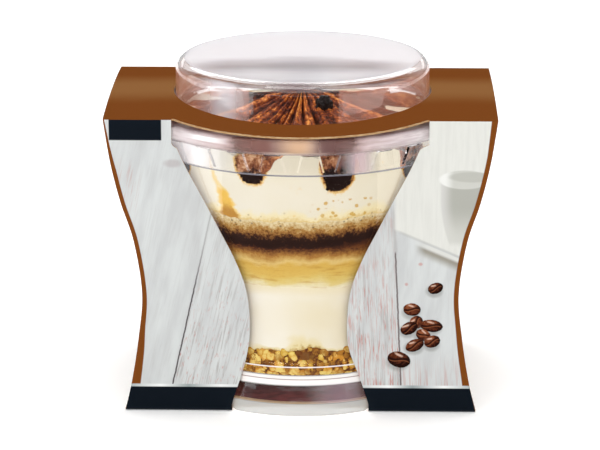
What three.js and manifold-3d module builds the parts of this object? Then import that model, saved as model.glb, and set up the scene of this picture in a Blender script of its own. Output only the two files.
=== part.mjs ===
// A single-serve layered dessert in a clear tumbler with a domed lid, held in a printed card sleeve.
// Millimetres, +Z up. The origin is on the floor, under the middle of the tumbler's foot.
// The sleeve's two windows face -Y and +Y, and its open ends face -X and +X.
import * as THREE from "three";
import { mergeVertices } from "three/addons/utils/BufferGeometryUtils.js";
import Module from "manifold-3d";

const wasm = await Module();
wasm.setup();

// Clearance between pieces that touch in the real object.
const GAP = 0.25;
const ROUND = 44;

// Card sleeve.
const CARD = 0.45;
const SLEEVE_HALF_DEPTH = 26;
const FOLD_HEIGHT = 67.9;
const TOP_HALF_WIDTH = 43.5;
const TOP_CROWN = 1.0;
const DOME_HOLE_RADIUS = 29.35;
const TONGUE_RADIUS = 37.8;
const FOLD_RADIUS = 0.9;
const FOOT_SLOT_HALF_DEPTH = 22.3;
const BACK_FOOT_HALF_WIDTH = 37;
// Half width of the wings' outer edge, and of the window, at heights above the floor.
const WING_EDGE = [[39.6, 0], [37.9, 7.5], [36.3, 17.5], [35.4, 28], [37.1, 40], [39.9, 49], [42, 58]];
const WINDOW_EDGE = [[15.4, 2], [13.6, 7.6], [11.4, 14.7], [10.9, 21], [11.7, 28.8], [14.2, 35.8], [17.4, 42.3]];
const WINDOW_TOP = [[21.1, 49.7], [24.7, 56.6], [26.8, 61.3]];
const NOTCH_HALF_WIDTH = 28.4;
const NOTCH_HEIGHT = 62.4;

// Clear tumbler: outer radius against height, wall and hollow foot.
const CUP_WALL = 0.9;
const FOOT_BOTTOM = CARD + GAP;
const FOOT_RADIUS = 29.6;
const CUP_EDGE = [[28.5, 7.6], [27.55, 14.7], [27.3, 21], [27.65, 28.8], [28.8, 35.8], [30.4, 42.3], [32.55, 49.7]];
const CUP_TOP = [[34.2, 56.6], [34.9, 62.4]];
const STEP_HEIGHT = 12;
const STEP_DEPTH = 0.35;
const FLOOR_UNDERSIDE = 8;
const FLOOR_HEIGHT = 9;
const RIM_RADIUS = 36.7;
const RIM_HEIGHT = 65.35;

// Clear domed lid: flat top, rounded shoulder, flange and snap skirt with lugs.
const LID_WALL = 0.6;
const LID_HEIGHT = 76.6;
const DOME_RADIUS = 29;
const DOME_TAPER = 0.1;
const SHOULDER = 2.9;
const FLANGE_RADIUS = 37.7;
const FLANGE_TOP = 66.3;
const FLANGE_FOOT = 62.9;
const SKIRT_RADIUS = 36.3;
const SKIRT_END_RADIUS = 35.3;
const SKIRT_BOTTOM = 57.4;
const LUGS = 27;
const LUG = { bottomWidth: 5.5, topWidth: 3.3, low: 58.4, high: 62.4, proud: 0.4 };
const FIRST_LUG = THREE.MathUtils.degToRad(3.9);

// Heights of the layers at the tumbler's wall.
const CRUMB_TOP = 14.4;
const LOWER_CREAM_TOP = 29.7;
const SPONGE_TOP = 38.9;
const COCOA_TOP = 46.6;
const PEAK_HEIGHT = 70.5;
const CREST_AT_WALL = 63.2;
const EDGE_DROP = 0.9;
const VALLEY_AT_WALL = 57;
const LOBES = 11;
const FIRST_VALLEY = THREE.MathUtils.degToRad(-18.2);
const POCKET = { width: 6.3, height: 7.4, depth: 3.4, top: 62, spread: 0.2 };
const CHOCOLATE = { size: 2.2, x: 5, y: -8.2 };

const AXES = {
  alongX: new THREE.Matrix4().makeBasis(
    new THREE.Vector3(0, 1, 0), new THREE.Vector3(0, 0, 1), new THREE.Vector3(1, 0, 0)),
  alongY: new THREE.Matrix4().makeBasis(
    new THREE.Vector3(1, 0, 0), new THREE.Vector3(0, 0, 1), new THREE.Vector3(0, -1, 0)),
};

// A closed three.js geometry as a solid that can be joined and cut.
function solid(geometry) {
  const bare = geometry.clone();
  bare.deleteAttribute("normal");
  bare.deleteAttribute("uv");
  const merged = mergeVertices(bare, 1e-4);
  const corners = merged.index.array;
  const kept = [];
  for (let i = 0; i < corners.length; i += 3) {
    const [a, b, c] = [corners[i], corners[i + 1], corners[i + 2]];
    if (a !== b && b !== c && a !== c) kept.push(a, b, c);
  }
  return new wasm.Manifold(new wasm.Mesh({
    numProp: 3,
    vertProperties: merged.attributes.position.array,
    triVerts: new Uint32Array(kept),
  }));
}

function toGeometry(body) {
  const mesh = body.getMesh();
  const geometry = new THREE.BufferGeometry();
  geometry.setAttribute("position", new THREE.BufferAttribute(mesh.vertProperties, 3));
  geometry.setIndex(new THREE.BufferAttribute(mesh.triVerts, 1));
  geometry.computeVertexNormals();
  return geometry;
}

const points = (pairs) => pairs.map(([x, y]) => new THREE.Vector2(x, y));

// Points along a smooth curve through a few pairs.
const smooth = (pairs, count) => new THREE.SplineCurve(points(pairs)).getPoints(count);

// An arc of a profile from one angle to another, in degrees.
function arc(x, y, radius, from, to, steps) {
  const [a, b] = [THREE.MathUtils.degToRad(from), THREE.MathUtils.degToRad(to)];
  return Array.from({ length: steps + 1 }, (_, i) => {
    const angle = a + ((b - a) * i) / steps;
    return new THREE.Vector2(x + radius * Math.cos(angle), y + radius * Math.sin(angle));
  });
}

// A profile of radius against height turned round the Z axis. The profile runs upwards on its outside.
const turned = (profile) => solid(new THREE.LatheGeometry(profile, ROUND).rotateX(Math.PI / 2));

// A flat outline extruded evenly to both sides of the middle, then laid along an axis.
function prism(outline, length, axis, middle = 0) {
  const geometry = new THREE.ExtrudeGeometry(outline, { depth: length, bevelEnabled: false, curveSegments: 6 });
  geometry.translate(0, 0, middle - length / 2);
  if (axis) geometry.applyMatrix4(axis);
  return solid(geometry);
}

function upright(radius, low, high) {
  const geometry = new THREE.CylinderGeometry(radius, radius, high - low, 60);
  return solid(geometry.rotateX(Math.PI / 2).translate(0, 0, (low + high) / 2));
}

// Height of the top panel's upper face: an arch between the folds that runs on straight beyond them.
function crownHeight(y) {
  const reach = Math.abs(y) / SLEEVE_HALF_DEPTH;
  const slope = reach > 1 ? 2 * reach - 1 : reach * reach;
  return FOLD_HEIGHT + TOP_CROWN * (1 - slope);
}

// One loop of card seen from its open end, as an outer path or, with an inset, as its inner path.
function loop(inset) {
  const [side, low, radius] = [SLEEVE_HALF_DEPTH - inset, inset, FOLD_RADIUS - inset];
  const path = new (inset ? THREE.Path : THREE.Shape)();
  path.moveTo(-side, low + radius);
  path.absarc(-side + radius, low + radius, radius, Math.PI, Math.PI * 1.5, false);
  path.absarc(side - radius, low + radius, radius, -Math.PI / 2, 0, false);
  for (let i = 0; i <= 6; i++) {
    const y = side * (1 - i / 3);
    path.lineTo(y, crownHeight(y) - inset);
  }
  path.closePath();
  return path;
}

// The arched plate that the top panel's tongues belong to.
function tonguePlate() {
  const reach = TONGUE_RADIUS + 1;
  const stations = [-reach, ...Array.from({ length: 7 }, (_, i) => SLEEVE_HALF_DEPTH * (i / 3 - 1)), reach];
  const upper = stations.map((y) => new THREE.Vector2(y, crownHeight(y)));
  const lower = stations.map((y) => new THREE.Vector2(y, crownHeight(y) - CARD));
  const strip = prism(new THREE.Shape([...lower, ...upper.reverse()]), 2 * reach, AXES.alongX);
  return strip.intersect(upright(TONGUE_RADIUS, FOLD_HEIGHT - 10, FOLD_HEIGHT + 10));
}

// A shape that is the same on both sides of the Z axis, from its right edge listed upwards.
const mirrored = (edge) => new THREE.Shape([...edge, ...edge.map((p) => new THREE.Vector2(-p.x, p.y)).reverse()]);

function makeSleeve() {
  const outer = loop(0);
  outer.holes.push(loop(CARD));
  const band = prism(outer, 2 * TOP_HALF_WIDTH + 2, AXES.alongX);
  const edge = smooth([...WING_EDGE, [TOP_HALF_WIDTH, FOLD_HEIGHT]], 18);
  const corner = points([[edge[0].x - 0.8, -1], [edge[0].x - 0.8, 0]]);
  const outline = mirrored([...corner, ...edge, ...points([[TOP_HALF_WIDTH, FOLD_HEIGHT + 3]])]);
  let sleeve = band.intersect(prism(outline, 3 * SLEEVE_HALF_DEPTH, AXES.alongY));
  const opening = mirrored([
    ...points([[WINDOW_EDGE[0][0], -1]]),
    ...smooth([...WINDOW_EDGE, ...WINDOW_TOP], 20),
    ...points([[NOTCH_HALF_WIDTH, NOTCH_HEIGHT], [NOTCH_HALF_WIDTH, FOLD_HEIGHT - CARD]]),
  ]);
  const cutDepth = 10;
  for (const side of [-1, 1]) {
    const window = prism(opening, cutDepth, AXES.alongY, side * (FOOT_SLOT_HALF_DEPTH + cutDepth / 2));
    sleeve = sleeve.subtract(window);
  }
  for (const side of [-1, 1]) {
    const beside = new THREE.Shape(points([[38.8, -FOOT_SLOT_HALF_DEPTH], [50, -FOOT_SLOT_HALF_DEPTH], [50, 27],
      [BACK_FOOT_HALF_WIDTH, 27]].map(([x, y]) => [side * x, y])));
    sleeve = sleeve.subtract(prism(beside, 20, null, 5));
  }
  const domeHole = upright(DOME_HOLE_RADIUS, FOLD_HEIGHT - 10, FOLD_HEIGHT + 10);
  return sleeve.add(tonguePlate()).subtract(domeHole);
}

// The tumbler's outer radius at each height, from its foot to just below its rim.
const cupCurve = smooth([[FOOT_RADIUS, 1.6], ...CUP_EDGE, ...CUP_TOP], 40);

function radiusAt(height) {
  const level = THREE.MathUtils.clamp(height, cupCurve[0].y, cupCurve.at(-1).y);
  const next = Math.max(cupCurve.findIndex((p) => p.y >= level), 1);
  const [a, b] = [cupCurve[next - 1], cupCurve[next]];
  return THREE.MathUtils.mapLinear(level, a.y, b.y, a.x, b.x);
}

function makeCup() {
  const heights = [7.6, 17, 25, 33, 41, 49, 57, 62.4];
  const outside = points([
    [FOOT_RADIUS - 1, FOOT_BOTTOM],
    [FOOT_RADIUS, FOOT_BOTTOM],
    [FOOT_RADIUS, 1.6],
    [radiusAt(heights[0]), heights[0]],
    [radiusAt(STEP_HEIGHT) + STEP_DEPTH, STEP_HEIGHT],
    [radiusAt(STEP_HEIGHT), STEP_HEIGHT + 0.3],
    ...heights.slice(1).map((z) => [radiusAt(z), z]),
    [RIM_RADIUS - 1.3, 63.6],
    [RIM_RADIUS, 64.5],
    [RIM_RADIUS, RIM_HEIGHT],
  ]);
  const inside = points([
    [RIM_RADIUS - 1.3, RIM_HEIGHT],
    [RIM_RADIUS - 2.4, 63.9],
    ...heights.slice(1).reverse().map((z) => [radiusAt(z) - CUP_WALL, z]),
    [radiusAt(10.8) - CUP_WALL, 10.8],
    [radiusAt(10.8) - CUP_WALL - 1.2, FLOOR_HEIGHT],
    [0, FLOOR_HEIGHT],
  ]);
  const foot = points([
    [0, FLOOR_UNDERSIDE],
    [FOOT_RADIUS - 3.2, FLOOR_UNDERSIDE],
    [FOOT_RADIUS - 2.2, 7],
    [FOOT_RADIUS - 1, 1.6],
    [FOOT_RADIUS - 1, FOOT_BOTTOM],
  ]);
  return turned([...foot, ...outside.slice(1), ...inside]);
}

// One lug: a plate on the skirt, wider at its foot, that leans with the skirt.
function lug(angle) {
  const [low, high] = [LUG.bottomWidth / 2, LUG.topWidth / 2];
  const face = new THREE.Shape(points([[-low, 0], [low, 0], [high, LUG.high - LUG.low], [-high, LUG.high - LUG.low]]));
  const plate = new THREE.ExtrudeGeometry(face, { depth: LUG.proud + 0.3, bevelEnabled: false });
  const lean = Math.atan2(SKIRT_RADIUS - SKIRT_END_RADIUS, FLANGE_FOOT - SKIRT_BOTTOM);
  plate.applyMatrix4(AXES.alongY);
  plate.rotateX(lean);
  plate.translate(0, -SKIRT_END_RADIUS + 0.2, LUG.low);
  return solid(plate.rotateZ(angle));
}

function makeLid() {
  const [top, wall] = [LID_HEIGHT, LID_WALL];
  const shoulderCentre = DOME_RADIUS - DOME_TAPER - SHOULDER;
  const outside = [
    ...points([[SKIRT_END_RADIUS, SKIRT_BOTTOM], [SKIRT_RADIUS, FLANGE_FOOT - 0.2]]),
    ...arc(FLANGE_RADIUS - 0.7, FLANGE_FOOT + 0.9, 0.7, -60, 0, 2),
    ...arc(FLANGE_RADIUS - 0.7, FLANGE_TOP - 0.7, 0.7, 0, 90, 3),
    ...points([[DOME_RADIUS + 0.6, FLANGE_TOP], [DOME_RADIUS, FLANGE_TOP + 0.6]]),
    ...arc(shoulderCentre, top - SHOULDER, SHOULDER, 0, 90, 5),
    ...points([[0, top]]),
  ];
  const inside = [
    ...points([[0, top - wall]]),
    ...arc(shoulderCentre, top - SHOULDER, SHOULDER - wall, 90, 0, 3),
    ...points([[DOME_RADIUS - wall, FLANGE_TOP + 0.1], [DOME_RADIUS, FLANGE_TOP - wall]]),
    ...points([[FLANGE_RADIUS - wall, FLANGE_TOP - wall], [FLANGE_RADIUS - wall, FLANGE_FOOT + 1.1]]),
    ...points([[SKIRT_RADIUS - wall, FLANGE_FOOT + 0.3], [SKIRT_END_RADIUS - wall, SKIRT_BOTTOM]]),
  ];
  let lid = turned([...outside, ...inside, outside[0].clone()]);
  for (let i = 0; i < LUGS; i++) lid = lid.add(lug(FIRST_LUG + (i * 2 * Math.PI) / LUGS));
  return lid;
}

// A soft uneven rise and fall round the tumbler.
const sway = (angle, phase) =>
  0.5 * Math.sin(2 * angle + phase) + 0.3 * Math.sin(5 * angle + 2.3 * phase) + 0.2 * Math.sin(9 * angle + phase / 2);

// Upper face of each layer, as a height over the share of the radius and the angle from the front.
const surfaces = {
  floor: () => FLOOR_HEIGHT,
  crumb: (share, angle) => CRUMB_TOP + 0.9 * share * sway(angle, 0.8) + 0.35 * Math.sin(17 * angle) * share,
  lowerCream: (share, angle) => LOWER_CREAM_TOP + 0.4 * share * sway(angle, 4.2),
  sponge: (share, angle) => SPONGE_TOP + 0.7 * share * sway(angle, 2.6),
  cocoa: (share, angle) => COCOA_TOP + 0.9 * share * sway(angle, 5.1),
  piped: pipedHeight,
};

// The piped swirl: rounded lobes that climb from the wall to a peak, with sharp valleys between them.
function pipedHeight(share, angle) {
  const lobe = Math.abs(Math.sin((LOBES * (angle - FIRST_VALLEY)) / 2)) ** 0.5;
  const crest = CREST_AT_WALL + (PEAK_HEIGHT - CREST_AT_WALL) * Math.max(1 - share, 0) ** 2.2;
  const edge = EDGE_DROP * THREE.MathUtils.smoothstep(share, 0.9, 1);
  const valley = CREST_AT_WALL - VALLEY_AT_WALL - EDGE_DROP;
  const depth = valley * THREE.MathUtils.smoothstep(share, 0.1, 0.9) + 0.2 * share;
  return crest - edge - depth * (1 - lobe) + 0.35 * share * sway(angle, 1.9);
}

// A layer between two surfaces, out to the tumbler's wall. Its profile is a unit square that each vertex
// is moved out of: x is the share of the radius, y the share of the height.
function layer(lower, upper, { segments = 40, topRings = [0.5, 0.85], wallSteps = 3 } = {}) {
  const wall = Array.from({ length: wallSteps + 1 }, (_, i) => [1, i / wallSteps]);
  const profile = points([[0, 0], [0.6, 0], ...wall, ...topRings.map((r) => [r, 1]).reverse(), [0, 1]]);
  const geometry = new THREE.LatheGeometry(profile, segments);
  geometry.rotateX(Math.PI / 2);
  const place = geometry.attributes.position;
  for (let i = 0; i < place.count; i++) {
    const [x, y, level] = [place.getX(i), place.getY(i), place.getZ(i)];
    const share = Math.hypot(x, y);
    const angle = share > 1e-6 ? Math.atan2(x, -y) : 0;
    const low = lower(share, angle) + GAP;
    const height = low + level * (upper(share, angle) - low);
    const reach = share * (radiusAt(height) - CUP_WALL - GAP);
    place.setXYZ(i, reach * Math.sin(angle), -reach * Math.cos(angle), height);
  }
  return solid(geometry);
}

// The crumb base keeps clear of the rounded corner inside the tumbler's floor.
function makeCrumbBase() {
  const corner = turned(points([[0, 0], [25.2, 0], [25.2, FLOOR_HEIGHT + 0.1], [26.2, 11.2], [26.6, 40], [0, 40]]));
  return layer(surfaces.floor, surfaces.crumb).intersect(corner);
}

// A pocket of coffee and cocoa that fills a valley at the wall: a rounded block that widens upwards, bigger
// by an allowance.
function pocket(index, allowance) {
  const width = POCKET.width + 0.6 * Math.sin(2.4 * index - 0.6);
  const height = POCKET.height + 0.8 * Math.cos(2.6 * index + 3.1);
  const centre = POCKET.top - height / 2;
  const block = new THREE.SphereGeometry(1, 8, 4).rotateX(Math.PI / 2);
  const place = block.attributes.position;
  const round = (value) => Math.sign(value) * Math.abs(value) ** 0.45;
  for (let i = 0; i < place.count; i++) {
    const [x, y, z] = [round(place.getX(i)), round(place.getY(i)), round(place.getZ(i))];
    place.setXYZ(i, x * (1 + POCKET.spread * z), y, z);
  }
  block.scale(width / 2 + allowance, POCKET.depth / 2 + allowance, height / 2 + allowance);
  const flare = radiusAt(centre + 2) - radiusAt(centre - 2);
  block.rotateX(Math.atan2(flare, 4));
  block.translate(0, -(radiusAt(centre) - CUP_WALL - GAP - POCKET.depth / 2 - 0.15), centre);
  return solid(block.rotateZ(FIRST_VALLEY + (index * 2 * Math.PI) / LOBES));
}

function chocolate(allowance) {
  const chunk = new THREE.DodecahedronGeometry(CHOCOLATE.size + allowance, 0);
  chunk.scale(1, 0.8, 0.95).rotateX(0.5).rotateZ(0.4);
  const distance = Math.hypot(CHOCOLATE.x, CHOCOLATE.y) / 33;
  const height = pipedHeight(distance, Math.atan2(CHOCOLATE.x, -CHOCOLATE.y));
  return solid(chunk.translate(CHOCOLATE.x, CHOCOLATE.y, height + 0.5));
}

function makeUpperCream() {
  const rings = [0.12, 0.26, 0.42, 0.58, 0.72, 0.85, 0.94];
  let cream = layer(surfaces.cocoa, surfaces.piped, { segments: LOBES * 6, topRings: rings, wallSteps: 4 });
  for (let i = 0; i < LOBES; i++) cream = cream.subtract(pocket(i, GAP));
  return cream.subtract(chocolate(GAP));
}

const finish = (colour, roughness, extra = {}) =>
  new THREE.MeshStandardMaterial({ color: colour, roughness, metalness: 0, ...extra });

const FINISHES = {
  card: finish(0x7a451b, 0.55),
  clear: finish(0xf4f6f8, 0.08, { transparent: true, opacity: 0.3 }),
  cream: finish(0xf7ecd4, 0.6),
  sponge: finish(0xdec17a, 0.85),
  cocoa: finish(0x2a1208, 0.9),
  crumb: finish(0xb98a2e, 0.9),
  coffee: finish(0x1c0a05, 0.4),
  chocolate: finish(0x24120c, 0.5),
};

const dessert = new THREE.Group();

function place(name, body, material) {
  const mesh = new THREE.Mesh(toGeometry(body), material);
  mesh.name = name;
  dessert.add(mesh);
}

place("sleeve", makeSleeve(), FINISHES.card);
place("cup", makeCup(), FINISHES.clear);
place("lid", makeLid(), FINISHES.clear);
place("crumb_base", makeCrumbBase(), FINISHES.crumb);
place("lower_cream", layer(surfaces.crumb, surfaces.lowerCream), FINISHES.cream);
place("coffee_sponge", layer(surfaces.lowerCream, surfaces.sponge), FINISHES.sponge);
place("cocoa_layer", layer(surfaces.sponge, surfaces.cocoa), FINISHES.cocoa);
place("upper_cream", makeUpperCream(), FINISHES.cream);
place("chocolate_piece", chocolate(0), FINISHES.chocolate);
for (let i = 0; i < LOBES; i++) place(`coffee_pocket_${i + 1}`, pocket(i, 0), FINISHES.coffee);

export default dessert;
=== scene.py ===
"""A layered coffee and cream dessert in a clear tumbler with a domed lid, held in a printed card sleeve.

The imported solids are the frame. Each class below builds one sub-assembly around them, in millimetres,
with +Z up, the front at -Y and the origin on the floor under the middle of the tumbler's foot.
"""

import logging
import math
from collections.abc import Callable
from dataclasses import dataclass
from enum import Enum
from functools import cached_property
from typing import TypeAlias

import bmesh
import bpy
import numpy as np
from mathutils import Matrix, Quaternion, Vector, noise

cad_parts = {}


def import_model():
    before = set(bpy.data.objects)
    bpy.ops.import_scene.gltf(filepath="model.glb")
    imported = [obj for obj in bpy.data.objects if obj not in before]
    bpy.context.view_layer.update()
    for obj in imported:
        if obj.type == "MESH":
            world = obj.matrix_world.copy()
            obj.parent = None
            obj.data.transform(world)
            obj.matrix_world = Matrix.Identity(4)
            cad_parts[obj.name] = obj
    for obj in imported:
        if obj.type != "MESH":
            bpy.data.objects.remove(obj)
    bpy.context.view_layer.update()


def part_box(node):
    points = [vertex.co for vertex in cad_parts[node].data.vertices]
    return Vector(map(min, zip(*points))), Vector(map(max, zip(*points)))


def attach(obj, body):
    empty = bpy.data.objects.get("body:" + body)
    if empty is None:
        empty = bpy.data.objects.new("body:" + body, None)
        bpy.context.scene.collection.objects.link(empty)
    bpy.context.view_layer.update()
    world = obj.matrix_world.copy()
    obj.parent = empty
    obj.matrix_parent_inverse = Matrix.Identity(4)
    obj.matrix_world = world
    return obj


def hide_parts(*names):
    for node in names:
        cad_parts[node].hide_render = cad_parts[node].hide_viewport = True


MM = 0.001
BODY = "root"
ROUND = 528
WELD = 0.004
FAR = 20.0
SHARP_ANGLE = math.radians(38)
WHITE = (1.0, 1.0, 1.0, 1.0)

log = logging.getLogger("dessert")

Pair = tuple[float, float]
Point = tuple[float, float, float]
Colour = tuple[float, float, float, float]
Path = tuple[Pair, ...]
Stops = tuple[tuple[float, Colour], ...]
Array = np.ndarray
Material = bpy.types.Material
Piece = bpy.types.Object
Term: TypeAlias = "Value | float"
Tone: TypeAlias = "Value | Colour"


def srgb(code: int) -> Colour:
    """A screen colour, written 0xRRGGBB, as linear light with an alpha of 1."""
    shares = (channel / 255 for channel in code.to_bytes(3, "big"))
    return *(c / 12.92 if c <= 0.04045 else ((c + 0.055) / 1.055) ** 2.4 for c in shares), 1.0


# ---- shading


def operator(operation: str, turned: bool = False) -> Callable:
    """Makes a method that joins two values by one Math node.

    Args:
        operation: The node's operation.
        turned: Whether the other value comes first.

    Returns:
        The method.
    """

    def method(self: "Value", other: Term) -> "Value":
        """Both values joined by the operation."""
        return self.math(operation, *((other, self) if turned else (self, other)))

    return method


class Value:
    """A node socket that takes part in arithmetic: an expression on values adds its Math nodes."""

    __add__ = __radd__ = operator("ADD")
    __sub__, __rsub__ = operator("SUBTRACT"), operator("SUBTRACT", turned=True)
    __mul__ = __rmul__ = operator("MULTIPLY")
    __truediv__, __rtruediv__ = operator("DIVIDE"), operator("DIVIDE", turned=True)
    __pow__, __rpow__ = operator("POWER"), operator("POWER", turned=True)
    least, most = operator("MINIMUM"), operator("MAXIMUM")

    def __init__(self, graph: "Graph", socket: bpy.types.NodeSocket) -> None:
        """Wraps a socket of a graph."""
        self.graph = graph
        self.socket = socket

    def math(self, operation: str, *terms: Term) -> "Value":
        """Adds one Math node over the terms."""
        return self.graph.add("ShaderNodeMath", {"operation": operation}, dict(enumerate(terms)))

    def __neg__(self) -> "Value":
        """The value with its sign turned."""
        return self * -1.0

    def __abs__(self) -> "Value":
        """The value without its sign."""
        return self.math("ABSOLUTE", self)

    def sine(self) -> "Value":
        """The sine of an angle in radians."""
        return self.math("SINE", self)

    def swing(self, reach: Term) -> "Value":
        """Turns noise from 0 to 1 into an equal swing either way of 0, half the reach at most."""
        return (self - 0.5) * reach

    def rise(self, low: Term, high: Term) -> "Value":
        """A soft step.

        Args:
            low: Where it leaves 0. It may be above high, for a step down.
            high: Where it reaches 1.

        Returns:
            A value from 0 to 1.
        """
        return self.graph.add(
            "ShaderNodeMapRange",
            {"interpolation_type": "SMOOTHSTEP", "clamp": True},
            {"Value": self, "From Min": low, "From Max": high},
        )

    def beside(self, output: str) -> "Value":
        """Another output of the same node."""
        return Value(self.graph, self.socket.node.outputs[output])


class Graph:
    """The nodes of one material."""

    def __init__(self, name: str) -> None:
        """Starts a material with an empty node tree."""
        self.material = bpy.data.materials.new(name)
        self.material.use_nodes = True
        self.tree = self.material.node_tree
        self.tree.nodes.clear()

    def add(
        self, kind: str, settings: dict | None = None, sockets: dict | None = None, output: int | str = 0
    ) -> Value:
        """Adds one node.

        Args:
            kind: The node's type.
            settings: Its properties, set first. "stops" fills a ramp with places and colours.
            sockets: Values or links for its inputs, by name or by number.
            output: The output to give back, by name or by number.

        Returns:
            The chosen output.
        """
        node = self.tree.nodes.new(kind)
        for name, setting in (settings or {}).items():
            if name == "stops":
                self._fill_ramp(node.color_ramp, setting)
            else:
                setattr(node, name, setting)
        for key, value in (sockets or {}).items():
            self.feed(node.inputs[key], value)
        return Value(self, node.outputs[output])

    def feed(self, socket: bpy.types.NodeSocket, value: "Term | tuple") -> None:
        """Links a value to a socket, or sets the socket to a constant."""
        if isinstance(value, Value):
            self.tree.links.new(value.socket, socket)
        else:
            socket.default_value = value

    @staticmethod
    def _fill_ramp(ramp: bpy.types.ColorRamp, stops: Stops) -> None:
        """Gives a colour ramp its stops, from left to right."""
        for index, (place, colour) in enumerate(stops):
            stop = ramp.elements[index] if index < 2 else ramp.elements.new(place)
            stop.position, stop.color = place, colour

    @cached_property
    def place(self) -> Value:
        """The point on the object, in millimetres."""
        spot = self.add("ShaderNodeTexCoord", output="Object")
        return self.add("ShaderNodeVectorMath", {"operation": "SCALE"}, {0: spot, "Scale": 1 / MM})

    @cached_property
    def axes(self) -> tuple[Value, Value, Value]:
        """The three parts of the point."""
        x = self.add("ShaderNodeSeparateXYZ", sockets={0: self.place})
        return x, x.beside("Y"), x.beside("Z")

    def stretched(self, by: Point, turn: Point = (0, 0, 0), of: Value | None = None) -> Value:
        """A vector turned and then stretched along its axes.

        Args:
            by: Stretch along each axis.
            turn: Turn about each axis, in radians.
            of: The vector, if it isn't the point on the object.

        Returns:
            The new vector.
        """
        sockets = {"Vector": of or self.place, "Rotation": turn}
        turned = self.add("ShaderNodeVectorRotate", {"rotation_type": "EULER_XYZ"}, sockets)
        return self.add("ShaderNodeVectorMath", {"operation": "MULTIPLY"}, {0: turned, 1: by})

    def joined(self, x: Term, y: Term, z: Term) -> Value:
        """A vector made of three values."""
        return self.add("ShaderNodeCombineXYZ", sockets={0: x, 1: y, 2: z})

    def painted(self, name: str) -> Value:
        """A value stored on the mesh, point by point."""
        return self.add("ShaderNodeAttribute", {"attribute_name": name}, output="Fac")

    def grain(self, scale: float, detail: float = 3.0, rough: float = 0.55, at: Value | None = None) -> Value:
        """Soft noise from 0 to 1.

        Args:
            scale: Waves to a millimetre.
            detail: Finer layers on top.
            rough: Strength of the finer layers.
            at: Where to read it, if not at the point on the object.

        Returns:
            The noise.
        """
        sockets = {"Vector": at or self.place, "Scale": scale, "Detail": detail, "Roughness": rough}
        return self.add("ShaderNodeTexNoise", None, sockets)

    def cells(self, scale: float, output: str = "Distance") -> Value:
        """Cell noise: the distance to the nearest of scattered points, or that cell's colour."""
        return self.add("ShaderNodeTexVoronoi", None, {"Vector": self.place, "Scale": scale}, output)

    def mix(self, share: Term, a: Tone, b: Tone) -> Value:
        """Mixes two colours, with b's share."""
        return self.add("ShaderNodeMix", {"data_type": "RGBA"}, {0: share, 6: a, 7: b}, 2)

    def coats(self, colour: Tone, *coats: "tuple[Term, Tone]") -> Value:
        """Lays coats over a colour, one after another.

        Args:
            colour: The colour below.
            *coats: A mask and a tone for each coat.

        Returns:
            The colour on top.
        """
        for mask, tone in coats:
            colour = self.mix(mask, colour, tone)
        return colour

    def ramp(self, factor: Value, *stops: tuple[float, Colour]) -> Value:
        """A colour ramp over a value."""
        return self.add("ShaderNodeValToRGB", {"stops": stops}, {0: factor})

    def bump(self, height: Value, depth: float, strength: float = 1.0) -> Value:
        """A normal bent by a height.

        Args:
            height: Height from 0 to 1.
            depth: What a height of 1 is, in millimetres.
            strength: Strength of the bend.

        Returns:
            The normal.
        """
        return self.add(
            "ShaderNodeBump", None, {"Height": height, "Distance": depth * MM, "Strength": strength}
        )

    def surface(
        self, colour: Value, rough: Term, gloss: float, normal: Value | None = None, glow: float = 0.0
    ) -> Material:
        """Ends the material with one Principled shader.

        Args:
            colour: Its colour.
            rough: Its roughness.
            gloss: Strength of its reflections.
            normal: Its normal, where it is bent.
            glow: Its own faint white light.

        Returns:
            The finished material.
        """
        sockets = {"Base Color": colour, "Roughness": rough, "Specular IOR Level": gloss}
        if normal:
            sockets["Normal"] = normal
        if glow:
            sockets |= {"Emission Color": WHITE, "Emission Strength": glow}
        self.add_output(self.add("ShaderNodeBsdfPrincipled", None, sockets))
        return self.material

    def add_output(self, shader: Value) -> None:
        """Links a shader to the material's surface."""
        self.feed(self.tree.nodes.new("ShaderNodeOutputMaterial").inputs["Surface"], shader)


# ---- meshes


def placed(name: str, mesh: bpy.types.Mesh, *materials: Material) -> Piece:
    """Puts a mesh into the scene.

    Args:
        name: The object's name.
        mesh: Its mesh.
        *materials: Its material slots.

    Returns:
        The object.
    """
    for material in materials:
        mesh.materials.append(material)
    piece = bpy.data.objects.new(name, mesh)
    bpy.context.scene.collection.objects.link(piece)
    return piece


def ball(make: Callable, corners: int, **settings: int) -> tuple[Array, Array]:
    """Points and faces of a ball of radius 1.

    Args:
        make: The bmesh operator that makes it.
        corners: Corners of a face. A face with fewer repeats its last one.
        **settings: How finely it is divided.

    Returns:
        The points, and the faces as rows of point numbers.
    """
    work = bmesh.new()
    make(work, radius=1.0, **settings)
    points = np.array([vert.co for vert in work.verts])
    faces = np.array([[v.index for v in (*face.verts, face.verts[-1])][:corners] for face in work.faces])
    work.free()
    return points, faces


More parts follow.
